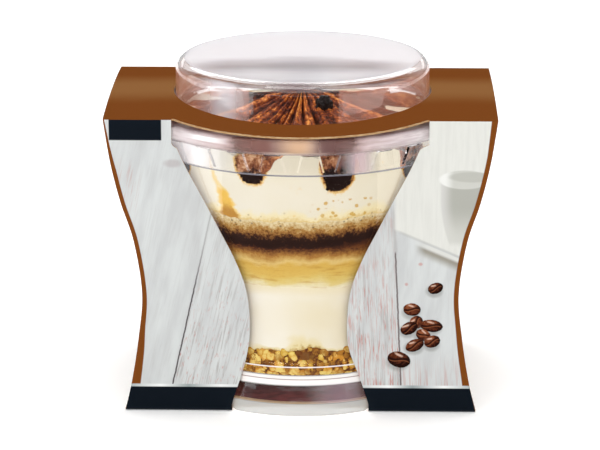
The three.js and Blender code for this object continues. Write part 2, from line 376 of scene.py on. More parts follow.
class Draft:
    """Points, faces and stored values gathered for one mesh, in millimetres."""

    def __init__(self) -> None:
        """Starts empty."""
        self.points: list[Array] = []
        self.faces: list[list[int]] = []
        self.slots: list[int] = []
        self.values: dict[str, list[Array]] = {}
        self.count = 0

    def add(self, points: Array, faces: Array, slot: int = 0, **values: Array) -> None:
        """Adds points and faces.

        Args:
            points: Points, in any array whose last axis is x, y, z.
            faces: Faces over those points, counted from 0.
            slot: Material slot of the faces.
            **values: One number for each point, by name. Every part of a draft gives the same names.
        """
        flat = np.reshape(points, (-1, 3))
        self.points.append(flat)
        self.faces += (np.asarray(faces) + self.count).tolist()
        self.slots += [slot] * len(faces)
        for name, value in values.items():
            self.values.setdefault(name, []).append(np.broadcast_to(np.ravel(value), len(flat)))
        self.count += len(flat)

    def add_grid(self, points: Array, closed: bool = False, slot: int = 0, **values: Array) -> None:
        """Adds points that run row by row, with four-cornered faces between them.

        Args:
            points: The points, by row and column.
            closed: Whether the last column joins the first.
            slot: Material slot of the faces.
            **values: As for add.
        """
        rows, columns = points.shape[:2]
        row, column = np.mgrid[: rows - 1, : columns if closed else columns - 1]
        a, b = row * columns + column, row * columns + (column + 1) % columns
        faces = np.stack([a, b, b + columns, a + columns], axis=-1).reshape(-1, 4)
        self.add(points, faces, slot, **values)

    def build(self, name: str, materials: list[Material], weld: float = WELD) -> Piece:
        """Makes the object, with points that meet welded and its faces turned outwards.

        Args:
            name: The object's name.
            materials: Its material slots.
            weld: Points closer than this become one; 0 leaves them.

        Returns:
            The object, in the scene.
        """
        mesh = bpy.data.meshes.new(name)
        mesh.from_pydata((np.concatenate(self.points) * MM).tolist(), [], self.faces)
        mesh.polygons.foreach_set("material_index", self.slots)
        for key, parts in self.values.items():
            mesh.attributes.new(key, "FLOAT", "POINT").data.foreach_set(
                "value", np.concatenate(parts).astype(np.float32)
            )
        work = bmesh.new()
        work.from_mesh(mesh)
        if weld:
            bmesh.ops.remove_doubles(work, verts=work.verts, dist=weld * MM)
        bmesh.ops.recalc_face_normals(work, faces=work.faces)
        work.to_mesh(mesh)
        work.free()
        mesh.shade_smooth()
        mesh.set_sharp_from_angle(angle=SHARP_ANGLE)
        return placed(name, mesh, *materials)


def settle(piece: Piece, slot: str, *nodes: str) -> Piece:
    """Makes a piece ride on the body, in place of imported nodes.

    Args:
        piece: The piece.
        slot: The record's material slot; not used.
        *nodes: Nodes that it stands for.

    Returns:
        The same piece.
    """
    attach(piece, BODY)
    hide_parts(*nodes)
    log.info("%s: %d faces, in place of %s", piece.name, len(piece.data.polygons), ", ".join(nodes))
    return piece


def smooth(pairs: list[Pair], count: int) -> Array:
    """Points along a smooth curve through a few pairs.

    Args:
        pairs: The pairs.
        count: Steps along the curve.

    Returns:
        count + 1 points.
    """
    given = np.asarray(pairs, float)
    last = len(given) - 1
    along = np.linspace(0, last, count + 1)
    index = np.minimum(along.astype(int), last - 1)
    share = (along - index)[:, None]
    before, start, end, after = (given[np.clip(index + step, 0, last)] for step in (-1, 0, 1, 2))
    leave, arrive = (end - before) / 2, (after - start) / 2
    cubic = 2 * start - 2 * end + leave + arrive
    square = -3 * start + 3 * end - 2 * leave - arrive
    return cubic * share**3 + square * share**2 + leave * share + start


def arc(x: float, y: float, radius: float, start: float, end: float, steps: int) -> list[Pair]:
    """Points along an arc of a profile.

    Args:
        x: Centre's distance from the axis.
        y: Centre's height.
        radius: Radius.
        start: First angle in degrees.
        end: Last angle in degrees.
        steps: Steps along the arc.

    Returns:
        steps + 1 points.
    """
    angles = np.radians(np.linspace(start, end, steps + 1))
    return [(x + radius * math.cos(a), y + radius * math.sin(a)) for a in angles]


def step_up(value: Array, low: float, high: float) -> Array:
    """A soft step from 0 at low to 1 at high."""
    share = np.clip((value - low) / (high - low), 0, 1)
    return share * share * (3 - 2 * share)


def around(radius: Array, angle: Array, height: Array) -> Array:
    """Points at a radius, an angle from the front towards +X, and a height."""
    radius, angle, height = np.broadcast_arrays(radius, angle, height)
    return np.stack([radius * np.sin(angle), -radius * np.cos(angle), height], axis=-1)


FULL_TURN = np.linspace(-math.pi, math.pi, ROUND, endpoint=False)


# ---- shared shapes


@dataclass(frozen=True)
class TumblerShape:
    """The tumbler's profile, which its contents follow."""

    wall: float = 0.9
    foot_bottom: float = 0.7
    foot_radius: float = 29.6
    foot_top: float = 1.6
    edge: Path = (
        (28.5, 7.6), (27.55, 14.7), (27.3, 21), (27.65, 28.8), (28.8, 35.8), (30.4, 42.3), (32.55, 49.7),
        (34.2, 56.6), (34.9, 62.4),
    )
    step_height: float = 12.0
    step_depth: float = 0.35
    floor_underside: float = 8.0
    floor_height: float = 9.0
    corner_height: float = 10.8
    corner_inset: float = 1.2
    rim_radius: float = 36.7
    rim_height: float = 65.35
    bite: float = 0.12

    @cached_property
    def _curve(self) -> Array:
        """Radius and height up the outside."""
        return smooth([(self.foot_radius, self.foot_top), *self.edge], 160)

    def radius_at(self, height: Array) -> Array:
        """Outer radius at a height."""
        return np.interp(height, self._curve[:, 1], self._curve[:, 0])

    def inside_at(self, height: Array) -> Array:
        """Inner radius at a height, with the rounded corner above the floor."""
        below = np.clip((self.corner_height - height) / (self.corner_height - self.floor_height), 0, 1)
        above = self.radius_at(np.maximum(height, self.corner_height)) - self.wall
        return above - self.corner_inset * below**2

    def contents_at(self, height: Array) -> Array:
        """Radius of what fills the tumbler: just into the wall, so that no air shows between them."""
        return self.inside_at(height) + self.bite


TUMBLER = TumblerShape()


def sway(angle: Array, phase: float) -> Array:
    """A soft uneven rise and fall round the tumbler."""
    return (
        0.5 * np.sin(2 * angle + phase)
        + 0.3 * np.sin(5 * angle + 2.3 * phase)
        + 0.2 * np.sin(9 * angle + phase / 2)
    )


def ragged(angle: Array, phase: float) -> Array:
    """A fine uneven edge round the tumbler, from about -1 to 1."""
    waves = ((23, 1.0), (37, 0.8), (61, 0.6), (97, 0.45), (151, 0.3))
    return sum(size * np.sin(count * angle + phase * count) for count, size in waves) / 2


@dataclass(frozen=True)
class Swirl:
    """The piped swirl on top: rounded lobes that climb from the wall to a peak."""

    peak_height: float = 70.5
    crest_at_wall: float = 63.2
    valley_at_wall: float = 57.0
    edge_drop: float = 0.9
    lobes: int = 11
    first_valley: float = math.radians(-18.2)
    ridge_depth: float = 1.5
    peak_power: float = 2.2

    @property
    def pitch(self) -> float:
        """Angle from one valley to the next."""
        return 2 * math.pi / self.lobes

    def lobe(self, angle: Array) -> Array:
        """How high a place is on its lobe, from 0 in a valley to 1 on the crest."""
        return np.abs(np.sin(self.lobes * (angle - self.first_valley) / 2)) ** 0.5

    def height(self, share: Array, angle: Array) -> Array:
        """Height of the swirl.

        Args:
            share: Share of the radius, 0 at the peak and 1 at the wall.
            angle: Angle from the front.

        Returns:
            The height.
        """
        inward = np.maximum(1 - share, 0) ** self.peak_power
        crest = self.crest_at_wall + (self.peak_height - self.crest_at_wall) * inward
        edge = self.edge_drop * step_up(share, 0.9, 1)
        valley = self.crest_at_wall - self.valley_at_wall - self.edge_drop
        depth = valley * step_up(share, 0.1, 0.9) + 0.2 * share
        return crest - edge - depth * (1 - self.lobe(angle)) + 0.35 * share * sway(angle, 1.9)

    def ridges(self, share: Array, angle: Array) -> Array:
        """Uneven ridges that the nozzle's teeth leave, with finer creases, deepest near the peak."""
        turn = angle + 0.12 * np.sin(3 * angle + 1.0) + 0.04 * np.sin(7 * angle + 6 * share)
        broad = np.abs(np.sin(17 * turn + 1.5 * share)) ** 0.7
        fine = np.abs(np.sin(40 * turn + 4.0 * share + 1.3)) ** 0.8
        uneven = 0.8 + 0.35 * np.sin(5 * angle + 2.0) + 0.2 * np.sin(11 * angle + 9 * share)
        wave = uneven * (0.75 * (broad - 0.62) + 0.3 * (fine - 0.62))
        return self.ridge_depth * wave * step_up(share, 0.0, 0.12) * (1 - 0.8 * step_up(share, 0.5, 0.9))


SWIRL = Swirl()


class Level(Enum):
    """The surfaces between the layers, from the floor up, each with its mean height."""

    FLOOR = TUMBLER.floor_height - TUMBLER.bite
    CRUMB = 14.4
    LOWER_CREAM = 29.7
    SPONGE = 38.9
    COCOA = 46.6
    PIPED = SWIRL.crest_at_wall

    def height(self, share: Array, angle: Array) -> Array:
        """Height of this surface.

        Args:
            share: Share of the radius.
            angle: Angle from the front.

        Returns:
            The height.
        """
        if self is Level.PIPED:
            return SWIRL.height(share, angle)
        if self is Level.FLOOR:
            return self.value + 0 * (share + angle)
        if self is Level.CRUMB:
            bumps = 0.35 * np.sin(17 * angle) + 0.2 * ragged(angle, 1.3)
            return self.value + share * (0.9 * sway(angle, 0.8) + bumps)
        wave, wave_phase, grit, grit_phase = {
            Level.LOWER_CREAM: (0.4, 4.2, 0.06, 0.4),
            Level.SPONGE: (0.7, 2.6, 0.22, 2.9),
            Level.COCOA: (0.9, 5.1, 0.25, 0.7),
        }[self]
        return self.value + share * (wave * sway(angle, wave_phase) + grit * ragged(angle, grit_phase))


# ---- finishes


@dataclass(frozen=True)
class BoardBrown:
    """The satin brown board of the top panel, with a painted sheen along its middle: a paler band in its
    colour, in place of a reflection.
    """

    tone: Colour = srgb(0x6B3A15)
    sheen: Colour = srgb(0x7F5631)
    sheen_reach: float = 15.0
    sheen_core: float = 2.0
    gloss: float = 0.001

    def material(self) -> Material:
        """Makes the material."""
        graph = Graph("card_brown")
        fibre = graph.grain(1.6, 4, at=graph.stretched((0.5, 2.2, 1.0)))
        away = abs(graph.axes[1]) + graph.grain(0.06, 2).swing(4.0)
        # Painted sheen: the colour turns paler in a soft band along the middle of the panel.
        middle = away.rise(self.sheen_reach, self.sheen_core)
        colour = graph.coats(self.tone, (middle, self.sheen), (fibre * 0.12, self.sheen))
        relief = graph.bump(graph.grain(3.2, 3), 0.012, 0.35)
        return graph.surface(colour, 0.42 + 0.08 * fibre, self.gloss, relief)


@dataclass(frozen=True)
class BoardLining:
    """The printed inside of the board."""

    tone: Colour = srgb(0x622A28)
    dark: Colour = srgb(0x401512)
    gloss: float = 0.12

    def material(self) -> Material:
        """Makes the material."""
        graph = Graph("card_lining")
        colour = graph.mix(graph.grain(0.5, 4).rise(0.35, 0.7), self.tone, self.dark)
        relief = graph.bump(graph.grain(2.5, 3), 0.015, 0.3)
        return graph.surface(colour, 0.5 + 0.1 * graph.grain(1.5, 2), self.gloss, relief)


@dataclass(frozen=True)
class BoardEdge:
    """The cut edge of the board: layers of pale and tan pulp."""

    pale: Colour = srgb(0xC4A880)
    tan: Colour = srgb(0x9E7042)
    gloss: float = 0.2

    def material(self) -> Material:
        """Makes the material."""
        graph = Graph("card_edge")
        plies = graph.grain(1.4, 3, at=graph.stretched((0.6, 0.6, 5.0)))
        colour = graph.mix(plies.rise(0.35, 0.65), self.pale, self.tan)
        return graph.surface(colour, 0.8 + 0.1 * plies, self.gloss, graph.bump(plies, 0.03, 0.5))


class PanelPlace:
    """A place on a front or back panel, and the marks that its print is made of."""

    def __init__(self, graph: Graph) -> None:
        """Reads the distance across the panel and the height on it."""
        self.graph = graph
        self.u, self.v = graph.painted("across"), graph.axes[2]
        self.flat = graph.joined(self.u, self.v, 0.0)

    def grain(self, fine: float, long: float, detail: float, lean: float = 0.0, rough: float = 0.55) -> Value:
        """Noise drawn out along a lean. The arguments are those of streaks and Graph.grain."""
        along = self.graph.stretched((fine, long, 1.0), (0, 0, lean), self.flat)
        return self.graph.grain(1.0, detail, rough, along)

    def streaks(self, lean: float, fine: float, long: float, low: float) -> Value:
        """Wood grain that runs along a lean from upright.

        Args:
            lean: Lean from upright, to the right.
            fine: Waves to a millimetre across the grain.
            long: Waves to a millimetre along it.
            low: Noise at which a streak begins.

        Returns:
            The streaks, from 0 to 1.
        """
        return self.grain(fine, long, 4, lean, 0.6).rise(low, low + 0.13)

    def seam(self, start: Pair, end: Pair, wide: float) -> Value:
        """A straight gap between two planks, as a mask.

        Args:
            start: Lower end, across and up.
            end: Upper end, across and up.
            wide: Half the gap's width.

        Returns:
            A mask that is 1 in the gap.
        """
        run, climb = end[0] - start[0], end[1] - start[1]
        length = math.hypot(run, climb)
        away = (self.u - start[0]) * (climb / length) - (self.v - start[1]) * (run / length)
        wobble = self.graph.grain(0.7, 3, at=self.graph.joined(self.u * 0.3, self.v, 3.0)).swing(0.3)
        return abs(away + wobble).rise(wide * 1.8, wide * 0.4)

    def oval(self, centre: Pair, half: Pair) -> Value:
        """Distance from an oval's centre, 1 on its edge."""
        spot = self.graph.joined((self.u - centre[0]) / half[0], (self.v - centre[1]) / half[1], 0.0)
        return self.graph.add("ShaderNodeVectorMath", {"operation": "LENGTH"}, {0: spot}, "Value")

    def knot(self, centre: Pair, half: Pair) -> Value:
        """A soft oval mark, as a mask."""
        return self.oval(centre, half).rise(1.3, 0.5)


@dataclass(frozen=True)
class Bean:
    """One printed coffee bean: where it lies on the panel, its size, its lean and how light it is."""

    across: float
    up: float
    width: float
    height: float
    lean: float
    shade: float


@dataclass(frozen=True)
class PanelPrint:
    """The print of the front and back panels: pale planks with coffee beans and a soft white cup, a plain
    dark badge, a dark band at the foot with a silver line, and a brown border. It bears no lettering."""

    plank: Colour = srgb(0xC3C5C5)
    plank_light: Colour = srgb(0xD0D3D2)
    grain_dark: Colour = srgb(0xA4A09E)
    grain_red: Colour = srgb(0xBE8076)
    fleck: Colour = srgb(0x7A6462)
    knot: Colour = srgb(0x968082)
    seam_dark: Colour = srgb(0x42363A)
    seam_brown: Colour = srgb(0x564242)
    backdrop: Colour = srgb(0xDCDCD6)
    backdrop_dark: Colour = srgb(0xD3D3CD)
    table_edge: Colour = srgb(0xA6A6A2)
    table: Colour = srgb(0xD5D5D0)
    table_shade: Colour = srgb(0x8C8576)
    cup_left: Colour = srgb(0xCCCBC7)
    cup_right: Colour = srgb(0xACACA4)
    cup_foot: Colour = srgb(0xCBCBC4)
    cup_hollow: Colour = srgb(0xB5B5AD)
    lip_left: Colour = srgb(0xE7E7E3)
    lip_right: Colour = srgb(0xC6C6BF)
    border: Colour = srgb(0x794216)
    navy: Colour = srgb(0x10171F)
    # Paler tone along the fold at the very foot: partly wear, partly a painted highlight.
    fold: Colour = srgb(0x787C82)
    silver: Colour = srgb(0x96A0A0)
    silver_light: Colour = srgb(0xEEF0EE)
    silver_at: tuple[float, ...] = (0.06, 0.22, 0.42, 0.6, 0.78, 0.94)
    light_at: tuple[float, ...] = (0.15, 0.3, 0.72, 0.86)
    bean_dark: Colour = srgb(0x220E09)
    bean_brown: Colour = srgb(0x602E1A)
    bean_light: Colour = srgb(0x9E5C3A)
    bean_glint: Colour = srgb(0xE4C2AC)
    bean_shadow: Colour = srgb(0x767670)
    bean_swell: float = 0.53
    band_top: float = 5.8
    line_top: float = 6.5
    left_lean: float = math.radians(12.6)
    right_lean: float = math.radians(-2.5)
    gloss: float = 0.04
    beans: tuple[Bean, ...] = (
        Bean(30.2, 29.4, 3.3, 2.4, 0.35, 0.25),
        Bean(25.0, 24.4, 3.7, 2.8, -0.1, 0.65),
        Bean(26.0, 21.4, 3.0, 2.8, 0.9, 0.7),
        Bean(24.4, 20.0, 3.9, 2.7, 0.5, 0.15),
        Bean(29.4, 20.6, 4.8, 2.7, -0.12, 0.45),
        Bean(27.6, 18.4, 3.3, 2.5, -0.5, 0.7),
        Bean(29.6, 16.9, 3.5, 2.7, 0.35, 0.5),
        Bean(25.7, 16.0, 4.1, 2.6, 0.45, 0.5),
        Bean(22.2, 12.6, 5.0, 3.5, -0.3, 0.15),
    )

    def material(self) -> Material:
        """Makes the material."""
        graph = Graph("card_print")
        panel = PanelPlace(graph)
        colour = self._cup(panel, self._planks(panel))
        for bean in self.beans:
            colour = self._bean(panel, bean, colour)
        badge = abs(panel.u + 36.4).rise(5.9, 5.7) * panel.v.rise(63.0, 63.25)
        border = graph.painted("border").rise(1.06, 0.94)
        colour = graph.coats(colour, (badge, self.navy), (border, self.border))
        fibre = graph.grain(2.6, 3)
        relief = graph.bump(fibre, 0.012, 0.3)
        return graph.surface(self._foot_band(panel, colour), 0.42 + 0.08 * fibre, self.gloss, relief)

    def _planks(self, panel: PanelPlace) -> Value:
        """The pale boards with their grain, flecks, knots and seams."""
        graph, u, v = panel.graph, panel.u, panel.v
        right = u.rise(-1.0, 1.0)
        left = 1 - right
        low = v.rise(44.0, 16.0)
        past_left_seam = (u + 19.8 - (v - 46.4) * 0.2244).rise(-0.2, 0.2) * left
        before_right_seam = (u - 22.6 + (v - 6.1) * 0.045).rise(0.2, -0.2) * right
        broad = panel.grain(0.3, 0.06, 3, self.left_lean)
        veil = panel.grain(0.25, 0.12, 2).rise(0.3, 0.65)
        lines_left = panel.streaks(self.left_lean, 2.6, 0.1, 0.5)
        lines_right = panel.streaks(self.right_lean, 3.2, 0.08, 0.48)
        lines = lines_left * left * (0.14 + past_left_seam * (0.2 + 0.45 * low))
        lines = lines + lines_right * right * (0.1 + before_right_seam * (0.3 + 0.35 * low))
        red = panel.streaks(self.left_lean, 2.2, 0.5, 0.56) * past_left_seam * low * 0.75
        red = red + panel.streaks(self.right_lean, 2.6, 0.22, 0.5) * before_right_seam * (0.25 + 0.6 * low)
        foot = v.rise(15.0, 7.0) * right * (1 - before_right_seam)
        corner = abs(u + 38.5).rise(3.6, 0.6) * abs(v - 52.0).rise(8.0, 2.0)
        red = red + lines_right * foot * 0.5 + lines_left * corner * 0.5
        specks = panel.streaks(self.left_lean, 3.4, 0.9, 0.66) * (0.25 + 0.5 * low) * left
        seam_left = panel.seam((-28.8, 6.3), (-19.8, 46.4), 0.15) * (0.35 + 0.6 * v.rise(40.0, 26.0)) * left
        seam_soft = panel.seam((21.2, 37.6), (20.7, 47.4), 0.35) * v.rise(49.0, 46.0) * v.rise(37.0, 38.5)
        seam_right = panel.seam((22.7, 6.1), (21.2, 37.6), 0.16) * v.rise(38.2, 37.2) * right
        return graph.coats(
            graph.mix(broad.rise(0.3, 0.7), self.plank, self.plank_light),
            (lines * (0.35 + 0.65 * veil), self.grain_dark),
            ((red * (0.3 + 0.7 * veil)).least(0.85), self.grain_red),
            (specks, self.fleck),
            (panel.knot((-28.2, 57.9), (2.1, 1.0)) * 0.35, self.knot),
            (panel.knot((26.8, 35.0), (0.5, 0.4)) * 0.6, self.grain_red),
            (panel.knot((23.7, 30.3), (0.4, 0.4)) * 0.6, self.grain_red),
            (seam_left, self.seam_dark),
            (seam_soft * 0.5, self.grain_dark),
            (seam_right * 0.85, self.seam_brown),
        )

    def _cup(self, panel: PanelPlace, colour: Value) -> Value:
        """The soft white cup and the pale table edge behind the planks, upper right."""
        graph, u, v = panel.graph, panel.u, panel.v
        sill = v - (42.0 - (u - 20.9) * 0.43) - 0.9
        haze = panel.grain(1.1, 0.1, 2)
        far = graph.mix(haze.rise(0.35, 0.7) * 0.6, self.backdrop, self.backdrop_dark)
        table = (sill + 1.35).rise(-0.5, 0.3) * sill.rise(-0.1, -0.5) * u.rise(24.0, 30.0)
        under = (sill + 1.9).rise(-2.2, 0.2) * (sill + 1.2).rise(0.3, -0.6) * u.rise(25.0, 28.0)
        inward = u - (31.1 + 2.2 * ((50.0 - v) / 11.0).most(0.0) ** 1.8)
        body = inward.rise(-0.3, 0.3) * v.rise(38.8, 40.6) * v.rise(54.4, 53.6)
        side = graph.mix(inward.rise(0.0, 3.0), self.cup_left, self.cup_right)
        lip = graph.mix(u.rise(31.8, 34.2), self.lip_left, self.lip_right)
        return graph.coats(
            colour,
            (sill.rise(-0.4, 0.5) * u.rise(20.4, 21.6), far),
            (abs(sill).rise(0.6, 0.05) * u.rise(20.8, 23.0) * 0.4, self.table_edge),
            (table, self.table),
            (under * 0.85, self.table_shade),
            (body, graph.mix(v.rise(48.5, 40.5) * 0.85, side, self.cup_foot)),
            (panel.oval((36.3, 54.5), (5.5, 2.1)).rise(1.1, 0.94), lip),
            (panel.oval((37.8, 55.1), (4.9, 1.2)).rise(1.15, 0.8) * 0.9, self.cup_hollow),
        )

    def _bean(self, panel: PanelPlace, bean: Bean, colour: Value) -> Value:
        """One bean with its shadow, rounded shade, crease and glints."""
        graph = panel.graph
        cos, sin = math.cos(bean.lean), math.sin(bean.lean)
        x, y = panel.u - bean.across, panel.v - bean.up
        fine = graph.grain(1.5, 3, 0.65, panel.flat) - 0.5
        along = (x * cos + y * sin) / (bean.width * self.bean_swell)
        over = (y * cos - x * sin) / (bean.height * self.bean_swell)
        inside = along * along + over * over + fine * 0.35
        low_x, low_y = (x + 0.25) / (bean.width / 2 + 0.6), (y + 0.7) / (bean.height / 2 + 0.6)
        shadow = (low_x * low_x + low_y * low_y).rise(1.05, 0.3)
        light = 0.42 + 0.3 * over - 0.16 * along - 0.34 * inside + 0.55 * (bean.shade - 0.4) + fine * 1.5
        bend = over - 0.24 * (along * 2.6).sine() - 0.05
        glint = abs(over - 0.52 + 0.25 * along).rise(0.22, 0.03) * abs(along + 0.15 + fine).rise(0.5, 0.1)
        skin = graph.coats(
            graph.ramp(light, (0.0, self.bean_dark), (0.4, self.bean_brown), (0.85, self.bean_light)),
            (abs(bend + 0.2).rise(0.12, 0.02) * inside.rise(0.9, 0.5) * 0.55, self.bean_light),
            (abs(bend).rise(0.24, 0.08) * inside.rise(1.0, 0.7) * 0.9, self.bean_dark),
            (glint * 0.75, self.bean_glint),
        )
        return graph.coats(colour, (shadow * 0.5, self.bean_shadow), (inside.rise(1.06, 0.92), skin))

    def _foot_band(self, panel: PanelPlace, colour: Value) -> Value:
        """The dark band at the foot, with its silver line, and below it a paler tone along the fold that is
        partly wear and partly a painted highlight.
        """
        stops = [(z, self.silver) for z in self.silver_at]
        stops += [(z, self.silver_light) for z in self.light_at]
        gleam = panel.graph.ramp((panel.u + 45.0) / 90.0, *sorted(stops))
        return panel.graph.coats(
            colour,
            (panel.v.rise(self.line_top + 0.05, self.line_top - 0.12), gleam),
            (panel.v.rise(self.band_top + 0.1, self.band_top - 0.1), self.navy),
            # Partly wear and partly painted highlight along the fold.
            (panel.v.rise(0.5, 0.1) * 0.35, self.fold),
        )


class Pattern(Enum):
    """How the tone of a zone of the plastic varies, in one of three ways: evenly, in streaks, in a painted
    reflection band.
    """

    EVEN = "even"
    STREAKS = "streaks"
    PAINTED_REFLECTION_BAND = "band"


@dataclass(frozen=True)
class HazeAndPaintedLight:
    """A zone of the plastic with a matte tone mixed in. Some zones are faint milkiness, some are painted
    highlights, reflections and shade, and some are thin lines. Each has heights, strength, tones and
    pattern, with the part in front that stays clear, or the middle and half width of the only part in front
    that takes the tone."""

    low: float
    high: float
    share: float
    tone: Colour
    shade: Colour = srgb(0x967C76)
    pattern: Pattern = Pattern.EVEN
    clear: Pair | None = None
    only: Pair | None = None


@dataclass(frozen=True)
class ClearPlastic:
    """Clear moulded plastic, faintly uneven, with a little haze where it is thick or curved, and painted
    highlights, reflections and shade in zones of it.
    """

    tint: Colour = (0.995, 0.99, 0.993, 1.0)
    milk: Colour = srgb(0xFAF9FC)
    flange_line: Colour = srgb(0x704A4E)
    ior: float = 1.5
    wave: float = 0.03
    soft: float = 0.5
    # Painted reflection: the flange's tone, paler and whiter towards the sides.
    flange_tones: Stops = (
        (0.3, srgb(0xD6B6B2)),
        (0.6, srgb(0xDECED0)),
        (0.85, srgb(0xEAE4E6)),
    )
    zones: tuple[HazeAndPaintedLight, ...] = (
        # Painted shade: grey over the toe, which the lamp in the hollow foot would light pure white.
        HazeAndPaintedLight(-1.0, 2.7, 0.6, srgb(0xC6C7C3)),
        HazeAndPaintedLight(3.02, 3.18, 0.85, srgb(0xA68250)),
        # Painted light: a paler pink veil over the foot right of the front, where the lining looks lighter.
        HazeAndPaintedLight(3.3, 7.0, 0.22, srgb(0xBEA4B0), only=(9.0, 9.0)),
        # Whitish band round the edge of the floor: haze of the thick plastic, and a painted highlight.
        HazeAndPaintedLight(7.3, 9.1, 0.92, srgb(0xFFFCFA)),
        HazeAndPaintedLight(8.38, 8.5, 0.6, srgb(0xA0827C)),
        # Painted highlight: a thin white line along the step.
        HazeAndPaintedLight(11.2, 11.4, 0.85, srgb(0xFFF8F8)),
        HazeAndPaintedLight(57.3, 57.6, 0.6, srgb(0x706C7A)),
        # Painted highlight: a white glare on the skirt, left of the front.
        HazeAndPaintedLight(58.0, 62.4, 0.42, srgb(0xFFFCFF), only=(-24.5, 11.5)),
        # Painted shade: a pinkish grey veil on the skirt, right of the right-hand pocket.
        HazeAndPaintedLight(58.0, 62.4, 0.4, srgb(0xCCB0B6), only=(13.2, 4.4)),
        # The flange: browner where the valleys lie behind it, with painted reflection paling it towards the
        # sides.
        HazeAndPaintedLight(63.0, 66.3, 0.58, srgb(0xE4CCB8), srgb(0x5C2814), Pattern.STREAKS),
        HazeAndPaintedLight(63.6, 66.3, 0.3, srgb(0xDCB088), only=(-0.6, 7.0)),
        HazeAndPaintedLight(63.6, 66.3, 0.76, srgb(0x7A4436), only=(-8.0, 8.0)),
        HazeAndPaintedLight(63.6, 66.3, 0.74, srgb(0x683A32), only=(6.4, 5.6)),
        # Painted highlight: a white streak along the flange, left of the front.
        HazeAndPaintedLight(64.6, 65.3, 0.75, srgb(0xFFFFFF), only=(-20.5, 6.0)),
        # Painted reflection: a warm veil over the dome's side, with a clear window in front.
        HazeAndPaintedLight(66.8, 74.6, 0.22, srgb(0xE8A088), clear=(-11.0, 8.3)),
        # Painted highlight: a soft white glare on the dome's left.
        HazeAndPaintedLight(66.9, 75.2, 0.4, srgb(0xF4EEF4), only=(-17.0, 7.5)),
        HazeAndPaintedLight(75.0, 76.1, 0.55, srgb(0x52363A), only=(-1.3, 15.0)),
        # Whitish top of the lid with a painted reflection: a soft grey band across its front.
        HazeAndPaintedLight(76.5, 76.7, 0.48, srgb(0xE2E0E6), srgb(0x8E8890), Pattern.PAINTED_REFLECTION_BAND),
    )

    def material(self) -> Material:
        """Makes the material."""
        graph = Graph("clear_plastic")
        uneven = graph.grain(0.16, 2, at=graph.stretched((1, 1, 0.35)))
        clear = graph.add("ShaderNodeBsdfPrincipled", None, {
            "Base Color": self.tint,
            "Roughness": 0.015 + 0.02 * graph.grain(0.4, 2),
            "IOR": self.ior,
            "Transmission Weight": 1.0,
            "Normal": graph.bump(uneven, self.wave),
        })
        share, tone = 0.0, self.zones[0].tone
        for zone in self.zones:
            here = self._here(graph, zone)
            tone = graph.mix(here, tone, self._tone(graph, zone))
            share = (here * zone.share).most(share)
        # The matte tone of the zones: faint haze, painted highlights, painted reflections and painted shade.
        milky_and_painted_light = graph.add("ShaderNodeBsdfPrincipled", None, {
            "Base Color": graph.mix(uneven * 0.1, tone, self.milk),
            "Roughness": 0.3,
            "IOR": self.ior,
        })
        graph.add_output(graph.add("ShaderNodeMixShader", None, {0: share, 1: clear, 2: milky_and_painted_light}))
        return graph.material

    def _here(self, graph: Graph, zone: HazeAndPaintedLight) -> Value:
        """Where one zone lies, as a mask with soft ends.

        Args:
            graph: The material's nodes.
            zone: The zone.

        Returns:
            A mask that is 1 in the zone.
        """
        x, y, height = graph.axes
        soft, front = min(self.soft, (zone.high - zone.low) / 2), y.rise(1.0, -1.0)
        here = height.rise(zone.low - soft, zone.low) * height.rise(zone.high + soft, zone.high)
        if zone.clear:
            left, right = zone.clear
            here = here * (1 - x.rise(left - 0.3, left) * x.rise(right + 0.3, right) * front)
        if zone.only:
            middle, half = zone.only
            here = here * abs(x - middle).rise(half, 0.5) * front
        return here

    def _tone(self, graph: Graph, zone: HazeAndPaintedLight) -> Tone:
        """The colour of one zone, its painted light included. The arguments are those of _here."""
        if zone.pattern is Pattern.EVEN:
            return zone.tone
        x, y, height = graph.axes
        if zone.pattern is Pattern.PAINTED_REFLECTION_BAND:
            # Painted reflection: a soft grey band across the front of the lid's top.
            drift = graph.grain(0.12, 3, at=graph.stretched((0.3, 1.0, 1.0))).swing(7.0)
            mask = abs(y + 11.0 + drift).rise(9.0, 0.0) * abs(x + 1.5).rise(27.0, 15.0)
            return graph.mix(mask, zone.tone, zone.shade)
        # Flange: brown where the valleys lie behind it, painted reflection paling it towards the sides, a
        # dark foot line.
        streak = graph.grain(1.0, 4, 0.6, at=graph.stretched((0.12, 0.12, 1.3))).rise(0.4, 0.62)
        angle = graph.add("ShaderNodeMath", {"operation": "ARCTAN2"}, {0: x, 1: -y})
        turn = ((angle - SWIRL.first_valley) * (SWIRL.lobes / 2)).sine()
        valley = abs(turn + graph.grain(0.3, 3).swing(0.5)).rise(0.82, 0.2)
        seen = (streak * 0.3 + valley * abs(x).rise(24.0, 12.0) * 0.9).least(0.9)
        return graph.coats(
            graph.ramp(abs(x + 2.0) / 38.0, (0.0, zone.tone), *self.flange_tones),
            (seen, zone.shade),
            (height.rise(63.4, 63.0) * 0.6, self.flange_line),
        )


